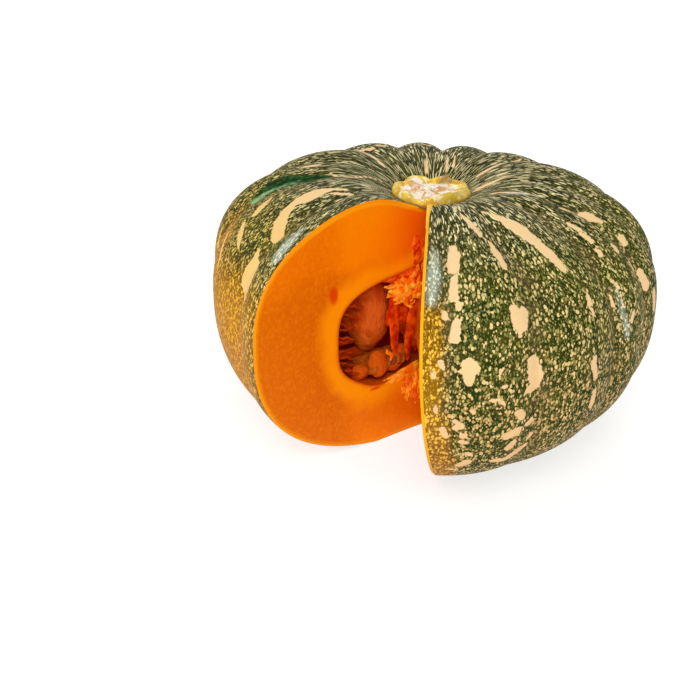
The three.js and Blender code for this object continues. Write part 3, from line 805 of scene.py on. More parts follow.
# The side under the rind and the cavity wall are swept round, the wall moved by noise and its floor by
# -depth exp(-((r - middle) / width)^2). A cut face goes from wall w to side o as w (1 - s) + o s.
def buildFlesh():
    inset = rind["thickness"] + flesh["clearance"]
    polars = np.linspace(rind["firstRing"], np.pi - rind["firstRing"], rind["rows"])
    hollow = np.linspace(flesh["cavityRing"], np.pi - flesh["cavityRing"], rind["rows"])
    outerTurns = np.linspace(0, 1, rind["innerColumns"])
    innerTurns = np.linspace(0, 1, flesh["columns"])
    outer = sweepRound(skinSurface(inset), skinPolar, outerTurns, polars, rind["fan"])
    wall = sweepRound(cavitySurface(0), cavityPolar, innerTurns, hollow, rind["fan"])
    outerPoints = np.stack(outer[:3], -1)
    wallPoints = np.stack(wall[:3], -1)
    # Lumpy cavity wall, calm at the two cuts and at the apex
    x, y, z = (wallPoints[..., i] for i in range(3))
    fromApex = np.hypot(x - wedge["apex"][0], y - wedge["apex"][1])
    calm = smooth(innerTurns, 0, 0.03) * smooth(1 - innerTurns, 0, 0.03)
    lumps = lumpNoise(x, y, z, 6, 3) + 0.5 * lumpNoise(x, y, z, 2.6, 4)
    depth, middle, width = cavity["sag"]
    basin = depth * np.exp(-((fromApex - middle) / width) ** 2) * smooth(z, *cavity["sagBelow"])
    direction = wallPoints - np.array([0, 0, cavity["height"]])
    direction /= np.linalg.norm(direction, axis=-1, keepdims=True)
    push = flesh["wallRelief"] * lumps * calm[:, None] * smooth(fromApex, 0, 12)
    wallPoints = wallPoints + direction * push[..., None]
    wallPoints[..., 2] -= basin

    apex = np.array(wedge["apex"])
    points, faces, rims, depths, alongs = [], [], [], [], []
    start = 0

    def add(block, rim, deep, flip=False):
        nonlocal start
        points.append(block.reshape(-1, 3))
        alongs.append(np.hypot(*(block[..., :2] - apex).reshape(-1, 2).T))
        rims.append(rim.ravel())
        depths.append(deep.ravel())
        faces.append(quads(block.shape[0], start, block.shape[1], flip))
        start += block.shape[0] * block.shape[1]

    far = flesh["farAway"]
    add(outerPoints, np.zeros(outerPoints.shape[:2]), np.full(outerPoints.shape[:2], far))
    add(wallPoints, np.full(wallPoints.shape[:2], far), np.zeros(wallPoints.shape[:2]))
    share = np.linspace(0, 1, flesh["faceSteps"])[:, None, None]
    for end in (0, -1):
        inner, skinSide = wallPoints[end], outerPoints[end]
        # Along and up within the cut, so that the face keeps to the cut's own surface
        innerPlan = np.stack([np.hypot(*(inner[:, :2] - apex).T), inner[:, 2]], -1)
        outerPlan = np.stack([np.hypot(*(skinSide[:, :2] - apex).T), skinSide[:, 2]], -1)
        spots = innerPlan * (1 - share) + outerPlan * share
        along, height = spots[..., 0], spots[..., 1]
        right, left = cutAngles(height)
        angle = right if end == 0 else left
        run = np.stack([np.cos(angle), np.sin(angle)], -1)
        side = np.stack([-run[..., 1], run[..., 0]], -1) * (-1 if end == 0 else 1)
        calm = smooth(share[..., 0], 0, 0.04) * smooth(1 - share[..., 0], 0, 0.03) * smooth(along, 0, 5)
        flat = 0 * along
        ripple = 0.6 * lumpNoise(along, height, flat + 7 * end, 14, 8)
        ripple = ripple + 0.4 * lumpNoise(along, height, flat, 4, 9)
        plan = apex + run * along[..., None] - side * (flesh["ripple"] * ripple * calm)[..., None]
        block = np.concatenate([plan, height[..., None]], -1)
        length = np.linalg.norm(outerPlan - innerPlan, axis=-1)[None, :]
        add(block, (1 - share[..., 0]) * length, share[..., 0] * length, end == 0)
    numbers = {
        "rimDistance": np.concatenate(rims),
        "cavityDistance": np.concatenate(depths),
        "along": np.concatenate(alongs),
    }
    piece = makePiece("fleshWall", np.concatenate(points), np.concatenate(faces), numbers)
    piece.data.materials.append(fleshMaterial())
    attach(piece, shown)
    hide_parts("flesh")


# Bruised ovals on a cut face, darker where ((along - middle) / wide)^2 + ((height - level) / tall)^2 + noise
# is under 1.5
def bruisedFlesh(tree, body, along, height, clouds):
    for middle, level, wide, tall in flesh["bruises"]:
        across = calc(tree, "DIVIDE", minus(tree, along, middle), wide)
        upward = calc(tree, "DIVIDE", minus(tree, height, level), tall)
        spread = plus(tree, times(tree, across, across), times(tree, upward, upward))
        spread = plus(tree, spread, times(tree, clouds, 0.6))
        body = blend(tree, times(tree, ramp(tree, spread, 1.5, 0.3), 0.9), body, fleshTones["bruise"])
    return body


def fleshMaterial():
    material, tree, shader = newMaterial("orangeFlesh")
    spot = millimetres(tree)
    rim, deep = attribute(tree, "rimDistance"), attribute(tree, "cavityDistance")
    along = attribute(tree, "along")
    height = node(tree, "ShaderNodeSeparateXYZ", {"Vector": spot}).outputs[2]
    wander = times(tree, minus(tree, noise(tree, spot, 0.03), 0.5), 24.0)
    soft = plus(tree, height, wander)
    clouds = noise(tree, spot, 0.022, 3.0, 0.5, 0.6)
    body = blend(tree, ramp(tree, clouds, 0.32, 0.68), *fleshTones["body"])
    # Deeper orange in the thick side wall, lighter over the shoulder: own tone plus painted shade and
    # painted light
    side = times(tree, ramp(tree, plus(tree, along, wander), 42, 62), ramp(tree, soft, 104, 88))
    body = blend(tree, times(tree, side, 0.8), body, fleshTones["side"])
    shoulder = times(tree, ramp(tree, soft, 94, 106), ramp(tree, along, 70, 46))
    body = blend(tree, times(tree, shoulder, 0.85), body, fleshTones["shoulder"])
    grain = noise(tree, spot, 0.55, 5.0, 0.65)
    body = blend(tree, times(tree, ramp(tree, grain, 0.4, 0.8), 0.4), body, fleshTones["grain"])
    # Redder towards the apex over the cavity: partly the flesh's own red, partly painted shade
    ruddyAndShade = times(tree, ramp(tree, along, 34, 6), ramp(tree, height, 82, 100))
    body = blend(tree, times(tree, ruddyAndShade, 0.6), body, fleshTones["ruddyAndShade"])
    # A bright ring of uneven width round the cavity
    uneven = plus(tree, deep, times(tree, wander, 0.9))
    ring = times(tree, ramp(tree, deep, 0.4, 2.5), ramp(tree, uneven, 14.0, 3.0))
    body = blend(tree, times(tree, ring, 0.8), body, fleshTones["ring"])
    body = bruisedFlesh(tree, body, along, height, clouds)
    band = times(tree, ramp(tree, rim, 2.0, 0.4), ramp(tree, height, 128, 108, 1.0, 0.35))
    body = blend(tree, band, body, fleshTones["underRind"])
    wall = ramp(tree, deep, 1.0, 0.0)
    body = blend(tree, times(tree, wall, 0.85), body, fleshTones["wall"])
    setFinish(tree, shader, body, flesh["finish"])
    raised = plus(tree, grain, times(tree, noise(tree, spot, 1.8), 0.5))
    addRelief(tree, shader, raised, *flesh["relief"])
    return material


# Corky stem scar
stem = {
    "radius": 20.5,
    "top": 127.5,
    "pit": 2.6,
    "rimDrop": 7.5,
    "columns": 220,
    "rows": 96,
    "underRows": 12,
    "lobes": ((3, 0.035, 0.4), (5, 0.05, 1.9), (8, 0.018, 0.7)),        # count, share of the radius, phase
    "notch": (116.0, 0.12, 13),         # azimuth, depth as a share of the radius, width in degrees
    "lumps": ((6.4, 1.3, 21), (2.3, 0.6, 22), (1.0, 0.22, 23)),        # cell, height, seed
    "bud": (-2.5, -1.0),                # the small pit and its ring near the middle
    "sunk": 0.6,                        # the scar's underside lies this far under the skin
    "tongueRun": (2.0, 56.0),           # from the apex along the right cut
    "tongueHalf": (1.9, 0.5),
    "tongueRise": 0.35,
    "tongueSteps": (48, 13),
    "tongueShare": 1.6,                 # past every share of the scar, so that the tongue has its own yellow
    "finish": {"Roughness": 0.7},
    "relief": (0.5, 0.7),
}

stemTones = {
    "cork": ((240, 228, 208), (206, 148, 80)),
    "corkPale": (252, 246, 230),
    "roll": ((240, 202, 66), (206, 152, 14)),
    # The next colour is pale cream on the roll, partly painted highlights
    "rollPaleAndHighlight": (252, 240, 188),
    "rollRight": (176, 148, 14),
    "tongue": (250, 192, 28),
    "brown": (124, 86, 24),
    "foot": (136, 92, 24),
}


# Yellow tongue from the scar's rim along the skin's edge at the right cut: an oval profile carried on the
# skin, across = half (0.5 + cos a), up = rise sin a, with half narrowing along the run and both drawn in at
# the ends by sin(pi s)^0.25
def tongueGrid():
    steps, sides = stem["tongueSteps"]
    s = np.linspace(0, 1, steps)
    swell = np.sin(np.pi * s) ** 0.25
    swell[[0, -1]] = 0
    share, turn = np.meshgrid(s, np.linspace(0, 2 * np.pi, sides), indexing="ij")
    (near, far), (wide, narrow) = stem["tongueRun"], stem["tongueHalf"]
    half = (wide + (narrow - wide) * share) * swell[:, None]
    spots = besideCut("right", near + (far - near) * share, half * (0.5 + np.cos(turn)), 0 * share)
    azimuth = np.arctan2(spots[..., 1], spots[..., 0])
    polar = skinPolar(azimuth, np.hypot(spots[..., 0], spots[..., 1]), True)
    rise = stem["tongueRise"] * swell[:, None] * np.sin(turn)
    spots[..., 2] = skinSurface(0)(azimuth, polar)[1] + rise
    spots[:, -1] = spots[:, 0]
    return spots


# r = R (1 + sum a sin(n f + p)) sin(pi s / 2)^0.8, z = top - pit (1 - rim) - drop s^6 + noise, s from 0 to 1
def buildStem():
    turns = np.linspace(0, 2 * np.pi, stem["columns"], endpoint=False)
    turns = np.append(turns, turns[0])
    shares = np.concatenate([np.linspace(0, 1, stem["rows"]), np.linspace(0.98, 0, stem["underRows"])])
    azimuth, share = np.meshgrid(turns, shares, indexing="ij")
    under = np.broadcast_to(np.arange(len(shares)) >= stem["rows"], azimuth.shape)
    notch, notchDepth, notchWidth = stem["notch"]
    lobes = 1 + sum(a * np.sin(n * azimuth + p) for n, a, p in stem["lobes"])
    lobes = lobes - notchDepth * np.exp(-((np.degrees(azimuth) - notch) / notchWidth) ** 2)
    reach = stem["radius"] * lobes * np.where(under, share, np.sin(share * np.pi / 2) ** 0.8)
    x, y = reach * np.cos(azimuth), reach * np.sin(azimuth)
    rim = np.exp(-((share - 0.72) / 0.2) ** 2)
    wobble = 0.7 * np.sin(3 * azimuth + 5 * share) + 0.5 * np.sin(7 * azimuth - 4 * share)
    lumps = sum(tall * lumpNoise(x, y, 0 * x, cell, seed) for cell, tall, seed in stem["lumps"])
    dome = stem["top"] - stem["pit"] * (1 - rim) - stem["rimDrop"] * share ** 6
    dome = dome + wobble * share + lumps * (1 - share ** 4)
    bud = np.hypot(x - stem["bud"][0], y - stem["bud"][1])
    dome = dome - 1.1 * np.exp(-(bud / 1.1) ** 2) + 0.5 * np.exp(-((bud - 2.4) / 0.7) ** 2)
    polar = skinPolar(azimuth, reach, True)
    ground = skinSurface(0)(azimuth, polar)[1] - stem["sunk"]
    z = np.where(under, ground, np.maximum(dome, ground))
    tongue = tongueGrid()
    points = np.concatenate([np.stack([x, y, z], -1).reshape(-1, 3), tongue.reshape(-1, 3)])
    scarFaces = quads(len(turns), 0, len(shares))
    faces = np.concatenate([scarFaces, quads(tongue.shape[0], x.size, tongue.shape[1])])
    extra = tongue.size // 3
    numbers = {
        "share": np.append(np.where(under, 1.0, share).ravel(), np.full(extra, stem["tongueShare"])),
        "lift": np.append((z - ground).ravel(), np.full(extra, 9.0)),
    }
    piece = makePiece("stemScar", points, faces, numbers)
    piece.data.materials.append(stemMaterial())
    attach(piece, shown)
    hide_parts("stem")


def stemMaterial():
    material, tree, shader = newMaterial("corkScar")
    spot = millimetres(tree)
    share = attribute(tree, "share")
    patches = noise(tree, spot, 0.16, 4.0, 0.6)
    cork = blend(tree, ramp(tree, patches, 0.44, 0.58), *stemTones["cork"])
    cork = blend(tree, ramp(tree, noise(tree, spot, 0.5, 4.0), 0.45, 0.75), cork, stemTones["corkPale"])
    ragged = plus(tree, share, times(tree, minus(tree, patches, 0.5), 0.8))
    roll = blend(tree, ramp(tree, noise(tree, spot, 0.2), 0.38, 0.62), *stemTones["roll"])
    # Pale cream patches on the roll: partly the roll's own pale cream, partly painted highlights
    roll = blend(tree, ramp(tree, noise(tree, spot, 0.3, 4.0), 0.52, 0.6), roll, stemTones["rollPaleAndHighlight"])
    # Olive on the right, with one brown patch behind
    east, north, _ = node(tree, "ShaderNodeSeparateXYZ", {"Vector": spot}).outputs
    roll = blend(tree, times(tree, ramp(tree, east, 8, 16), 0.6), roll, stemTones["rollRight"])
    roll = blend(tree, ramp(tree, share, 1.2, 1.4), roll, stemTones["tongue"])
    middle = plus(tree, ragged, ramp(tree, east, 2, 16, 0.0, 0.16))
    body = blend(tree, ramp(tree, middle, 0.36, 0.54), cork, roll)
    aside = ramp(tree, calc(tree, "ABSOLUTE", minus(tree, east, 1.0)), 5, 2)
    behind = times(tree, aside, ramp(tree, north, 12, 15))
    body = blend(tree, times(tree, behind, 0.7), body, stemTones["brown"])
    body = blend(tree, ramp(tree, attribute(tree, "lift"), 2.6, 0.6), body, stemTones["foot"])
    setFinish(tree, shader, body, stem["finish"])
    raised = plus(tree, patches, times(tree, noise(tree, spot, 1.4, 5.0), 0.6))
    addRelief(tree, shader, raised, *stem["relief"])
    return material


# Pulp: swollen lobes round a core, fibres that tie them to the wall, and torn tufts beside the cuts
pulp = {
    "lobeSeed": 17,
    "lobeCount": 14,
    "lobeRing": 40.0,
    "lobeSize": (15.5, 11.0, 20.0),
    "lobeHeight": 64.0,
    "lobeSetback": 9.0,
    "endLobe": 1.12,        # the two lobes beside the cuts are this much taller
    "coreSize": (12.0, 12.0, 27.0),
    "coreMiddle": (-1.0, 4.0, 64.0),
    "wrinkle": 0.7,
    "lobeSwell": (0.92, 1.08),
    "lobeGrid": (60, 40),
    # Seeds wrapped in pulp beside each cut: along, behind and height, then size, then tone
    "seedLumps": (
        (29.5, 4.4, 43.0, (5.8, 4.2, 8.0), 0.85),
        (18.5, 4.8, 40.5, (5.8, 4.2, 5.6), 0.6),
        (12.8, 6.5, 44.0, (5.2, 3.6, 5.0), 0.8),
        (38.5, 8.0, 39.0, (6.5, 4.5, 4.5), 0.75),
        (23.5, 9.0, 38.0, (6.0, 5.0, 5.0), 0.5),
    ),
    "finish": {
        "Roughness": 0.42,
        "Specular IOR Level": 0.1,
        "Subsurface Weight": 0.2,
        "Subsurface Radius": (1.0, 0.35, 0.1),
        "Subsurface Scale": 0.004,
    },
    "relief": (0.9, 1.6),
}

pulpTones = {
    "body": ((208, 80, 4), (236, 112, 28)),
    "seedLumps": (222, 96, 0),
    "veins": (244, 138, 52),
}


# Place beside a cut: apex + along * run + behind * away, with the height as it is
def besideCut(side, along, behind, height):
    angle = np.radians(cutAngle(side))
    run = np.array([np.cos(angle), np.sin(angle)])
    away = np.array([run[1], -run[0]]) if side == "left" else np.array([-run[1], run[0]])
    along, behind, height = (np.asarray(v, float) for v in (along, behind, height))
    plan = np.array(wedge["apex"]) + along[..., None] * run + behind[..., None] * away
    return np.concatenate([plan, height[..., None]], -1)


# Unit vectors along a cut and away from it
def cutRun(side):
    return besideCut(side, 1, 0, 0) - besideCut(side, 0, 0, 0)


def cutAway(side):
    return besideCut(side, 0, 1, 0) - besideCut(side, 0, 0, 0)


# Paths through places given as (along, behind, height)
def cutPaths(side, paths):
    return np.array([[besideCut(side, *spot) for spot in path] for path in paths])


# x cos t - y sin t, x sin t + y cos t
def turnRound(x, y, turn):
    return x * np.cos(turn) - y * np.sin(turn), x * np.sin(turn) + y * np.cos(turn)


# Angle u round the axis, closed on itself, and angle v down from the pole
def ballAngles(columns, rows):
    u, v = np.linspace(0, 2 * np.pi, columns + 1), np.linspace(0, np.pi, rows)
    around, down = np.meshgrid(u, v, indexing="ij")
    around[-1] = around[0]
    return around, down


# Wrinkled ellipsoid: centre + turn(size b + wrinkle noise b), with b = (cos u sin v, sin u sin v, cos v)
def lump(centre, size, turn, wrinkle, seed, columns=44, rows=30):
    around, down = ballAngles(columns, rows)
    ball = np.stack([np.cos(around) * np.sin(down), np.sin(around) * np.sin(down), np.cos(down)], -1)
    spots = ball * np.array(size)
    shift = 300     # into a part of the noise of its own
    x, y, z = (spots[..., i] + shift for i in range(3))
    folds = lumpNoise(x, y, z, 9, seed) * 1.6
    folds = folds + np.abs(lumpNoise(x * 0.6, y * 0.6, z * 1.6, 3.6, seed + 1)) * -1.2
    folds = folds + 0.35 * lumpNoise(x, y, z, 1.7, seed + 2)
    spots = spots + ball * (wrinkle * folds)[..., None]
    x, y = turnRound(spots[..., 0], spots[..., 1], np.radians(turn))
    return np.stack([x, y, spots[..., 2]], -1) + np.array(centre)


# Fibres: a flattened round profile carried along cubic Bezier paths that waver, drawn to a point at both
# ends as sin(pi s)^blunt. ends is (count, 4, 3); wide widens the profile along the vector lay; taper scales
# it from the first end to the last.
def fibres(ends, radius, wide, lay, waver, seed, steps=14, sides=6, blunt=0.35, taper=(1.0, 1.0)):
    ends = np.asarray(ends, float)
    count = len(ends)
    s = np.linspace(0, 1, steps)
    weights = np.stack([(1 - s) ** 3, 3 * s * (1 - s) ** 2, 3 * s * s * (1 - s), s ** 3], -1)
    path = np.einsum("sk,nkd->nsd", weights, ends)
    draw = np.random.default_rng(seed)
    phase = draw.random((count, 3, 1)) * 2 * np.pi
    pace = draw.uniform(5, 11, (count, 3, 1))
    path = path + (waver * np.sin(np.pi * s) * np.sin(phase + pace * s)).transpose(0, 2, 1)
    ahead = np.gradient(path, axis=1)
    ahead /= np.linalg.norm(ahead, axis=-1, keepdims=True) + 1e-9
    lay = np.broadcast_to(np.asarray(lay, float), (count, 3))[:, None, :]
    side = lay - ahead * np.sum(ahead * lay, -1, keepdims=True)
    side /= np.linalg.norm(side, axis=-1, keepdims=True) + 1e-9
    up = np.cross(ahead, side)
    around = np.linspace(0, 2 * np.pi, sides + 1)
    thickness = np.sin(np.pi * s) ** blunt * (taper[0] + (taper[1] - taper[0]) * s)
    radius = np.broadcast_to(radius, (count,))[:, None] * thickness[None, :]
    radius[:, 0] = radius[:, -1] = 0
    wide = np.reshape(np.broadcast_to(wide, (count,)), (count, 1, 1, 1))
    ring = np.cos(around)[:, None] * side[:, :, None, :] * wide + np.sin(around)[:, None] * up[:, :, None, :]
    ring[:, :, -1] = ring[:, :, 0]
    return path[:, :, None, :] + radius[:, :, None, None] * ring


# Several grids made one mesh; each grid is (rows, columns, 3), and its tone goes to an attribute
def joinGrids(name, grids, tones, material):
    points, faces, tone = [], [], []
    start = 0
    for grid, value in zip(grids, tones):
        points.append(grid.reshape(-1, 3))
        faces.append(quads(grid.shape[0], start, grid.shape[1]))
        tone.append(np.full(grid.shape[0] * grid.shape[1], value))
        start += grid.shape[0] * grid.shape[1]
    numbers = {"tone": np.concatenate(tone)}
    piece = makePiece(name, np.concatenate(points), np.concatenate(faces), numbers)
    piece.data.materials.append(material)
    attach(piece, shown)
    return piece


# Lumps beside a cut, each given as along, behind, height, size and tone
def cutLumps(side, lumps, wrinkle, seed, columns, rows):
    turn = cutAngle(side)
    grids, tones = [], []
    for along, behind, height, size, tone in lumps:
        centre = besideCut(side, along, behind, height)
        grids.append(lump(centre, size, turn, wrinkle, seed + int(along), columns, rows))
        tones.append(tone)
    return grids, tones


# Lobes stand in a ring round the core. Below its middle a lobe's outer side is drawn in by half its reach.
def buildPulpLobes():
    first, last = wedge["rightCut"] + pulp["lobeSetback"], wedge["leftCut"] + 360 - pulp["lobeSetback"]
    draw = np.random.default_rng(pulp["lobeSeed"])
    grids, tones = [], []
    for i, turn in enumerate(np.linspace(first, last, pulp["lobeCount"])):
        run = np.array([np.cos(np.radians(turn)), np.sin(np.radians(turn))])
        swell = draw.uniform(*pulp["lobeSwell"])
        tall = pulp["endLobe"] if i in (0, pulp["lobeCount"] - 1) else 1.0
        middle = pulp["lobeHeight"] + draw.uniform(-1.5, 1.5) + 20 * (tall - 1)
        centre = np.array((*(run * pulp["lobeRing"]), middle))
        size = np.array(pulp["lobeSize"]) * swell * (1, 1, tall)
        grid = lump(centre, size, turn, pulp["wrinkle"], 40 + 3 * i, *pulp["lobeGrid"])
        far = (grid[..., :2] - centre[:2]) @ run
        pull = 0.5 * np.maximum(far, 0) * smooth(grid[..., 2], centre[2] + 4, centre[2] - 16)
        grid[..., :2] -= pull[..., None] * run
        grids.append(grid)
        tones.append(draw.uniform(0.0, 0.3))
    grids.append(lump(pulp["coreMiddle"], pulp["coreSize"], turn=0, wrinkle=1.2, seed=90))
    tones.append(0.6)
    for side in ("left", "right"):
        wrapped, wrappedTones = cutLumps(side, pulp["seedLumps"], wrinkle=0.5, seed=120, columns=36, rows=24)
        grids += wrapped
        tones += wrappedTones
    piece = joinGrids("pulpLobes", grids, tones, pulpMaterial())
    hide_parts("pulp")


# Fibres that tie the lobes to the wall. Places beside a cut are given as along, behind and height.
strings = {
    "seed": 23,
    "finHeights": (80.5, 77.0, 72.5, 69.5, 65.0, 62.0, 57.5, 54.5, 50.0, 47.0, 43.5),
    "bands": (
        ((17, 5.5, 78), (18.4, 5, 67), (19.4, 4.5, 55), (17.3, 3.5, 38.5)),
        ((3.0, 4, 71), (6.5, 3.5, 61), (11.5, 3, 53), (9.5, 3.5, 38.5)),
        ((21.5, 6.5, 69), (19.5, 6, 61), (18, 5, 52), (13.5, 3.5, 38)),
    ),
    "bandRadii": (0.7, 0.95, 0.6),
    "bandWidths": (5.2, 4.2, 2.4),
    "curtain": ((23, 6, 66.5), (15, 6.5, 64.5), (9, 6.5, 63.5), (0.5, 6, 66)),
    "curtainFold": ((14, 9, 74), (13, 9.5, 68), (10, 10, 60), (13, 10, 50)),
    "tiesPerLobe": 7,
    "tieHeights": (42, 80),
    "coreCount": 60,
    "coreAxis": (-4.0, 8.0),
    "coreLevels": ((0.7, 92), (1.2, 76), (1.4, 54), (1.0, 37)),     # share of the radius, and height
}


# Places round an upright axis: axis + far (cos f, sin f), with up as the height
def roundAxis(turns, far, up, axis=(0.0, 0.0)):
    return np.stack([axis[0] + far * np.cos(turns), axis[1] + far * np.sin(turns), up], -1)


# Fins sink from the wall, broad bands hang beside the lobe, ties and core strings go all the way round:
# every one is a path of four places for fibres()
def buildPulpFibres():
    draw = np.random.default_rng(strings["seed"])
    grids, tones = [], []

    def add(made, tone):
        grids.extend(list(made))
        tones.extend([tone] * len(made))

    for side in ("left", "right"):
        # Thin fins that sink from the wall towards the first lobe, one above the other
        count = len(strings["finHeights"])
        heights = np.array(strings["finHeights"]) + draw.uniform(-0.8, 0.8, count)
        wall = wallAlong(side, heights)
        back = draw.uniform(1.0, 5.0, count)
        drop = draw.uniform(3.0, 7.0, count)
        paths = np.stack([besideCut(side, wall + 1.0, back, heights + 0.5),
                          besideCut(side, wall - 3.5, back + 1.0, heights - drop * 0.2),
                          besideCut(side, wall - 8, back + 3, heights - drop * 0.7),
                          besideCut(side, wall - 15, back + 7, heights - drop * 1.2)], 1)
        radii, widths = draw.uniform(0.3, 0.6, count), draw.uniform(2, 5, count)
        made = fibres(paths, radii, widths, cutAway(side), waver=0.6, seed=31, steps=16, sides=8, blunt=0.2)
        add(made, 0.22)
        # Broad sheets that hang beside the lobe, and a thin curtain behind them
        run = cutRun(side)
        radii, widths = np.array(strings["bandRadii"]), np.array(strings["bandWidths"])
        bands = cutPaths(side, strings["bands"])
        made = fibres(bands, radii, widths, run,
                      waver=0.5, seed=37, steps=30, sides=12, blunt=0.22, taper=(1.25, 0.5))
        add(made, 0.5)
        curtain = cutPaths(side, [strings["curtain"]])
        made = fibres(curtain, 0.7, 9.0, (0, 0, 1),
                      waver=0.5, seed=38, steps=24, sides=12, blunt=0.2, taper=(1.0, 0.7))
        add(made, 0.46)
        fold = cutPaths(side, [strings["curtainFold"]])
        made = fibres(fold, 0.6, 5.0, run, waver=0.4, seed=39, steps=24, sides=12, blunt=0.2)
        add(made, 0.36)
    # Ties from the wall to the lobes and the core all the way round
    first, last = wedge["rightCut"] + pulp["lobeSetback"], wedge["leftCut"] + 360 - pulp["lobeSetback"]
    count = strings["tiesPerLobe"] * pulp["lobeCount"]
    turns = np.radians(draw.uniform(first, last, count))
    heights = draw.uniform(*strings["tieHeights"], count)
    reach = wallReach(heights) * planShare(turns) - 2.5
    lean = draw.uniform(-7, 7, count)
    paths = np.stack([roundAxis(turns, reach + 1.5, heights),
                      roundAxis(turns, reach - 6, heights + lean * 0.3),
                      roundAxis(turns, reach - 14, heights + lean * 0.7),
                      roundAxis(turns, reach - 26, heights + lean)], 1)
    radii, widths = draw.uniform(0.5, 0.9, count), draw.uniform(2, 6, count)
    made = fibres(paths, radii, widths, (0, 0, 1), waver=0.8, seed=41, steps=12, sides=6, blunt=0.2)
    add(made, 0.4)
    # Upright fibres round the core, from the throat of the roof down to the floor
    count = strings["coreCount"]
    turns = draw.uniform(0, 2 * np.pi, count)
    near = draw.uniform(4, 15, count)
    paths = np.stack([roundAxis(turns, near * share, up + 0 * near, strings["coreAxis"])
                      for share, up in strings["coreLevels"]], 1)
    radii, widths = draw.uniform(0.5, 1.0, count), draw.uniform(1, 3, count)
    made = fibres(paths, radii, widths, (1, 0, 0), waver=1.2, seed=43, steps=18, sides=6, blunt=0.2)
    add(made, 0.5)
    piece = joinGrids("pulpFibres", grids, tones, fibreMaterial())


# Torn pulp at the cuts. Places are given as along, behind and height.
tufts = {
    "seed": 29,
    # Torn flesh that fills the roof's corner at the cut: place, size and tone
    "roofLumps": (
        (19.5, 5.0, 88.0, (8.0, 4.6, 4.0), 0.66),
        (10.0, 4.6, 90.5, (6.0, 4.2, 6.5), 0.66),
        (4.0, 4.4, 96.0, (4.4, 4.0, 8.0), 0.6),
        (11.5, 4.6, 83.0, (7.0, 4.0, 4.5), 0.7),
    ),
    "hanging": 90,
    "lying": 34,
    "ridge": 9,
    "ridgeReach": (27.0, 20.5, 13.5, 5.5),
    "ridgeLevel": (31.6, 32.6, 34.2, 36.2),
    "fan": 54,
    "scrap": ((26.5, 0.9, 51), (25.5, 0.6, 48.5), (23.5, 0.7, 47), (23.5, 1.0, 43.5)),
    "thirds": (0, 1 / 3, 2 / 3, 1),
}


# Normal draws about a mean, one column for each (mean, spread)
def scatter(draw, count, *columns):
    return np.stack([draw.normal(mean, spread, count) for mean, spread in columns], -1)


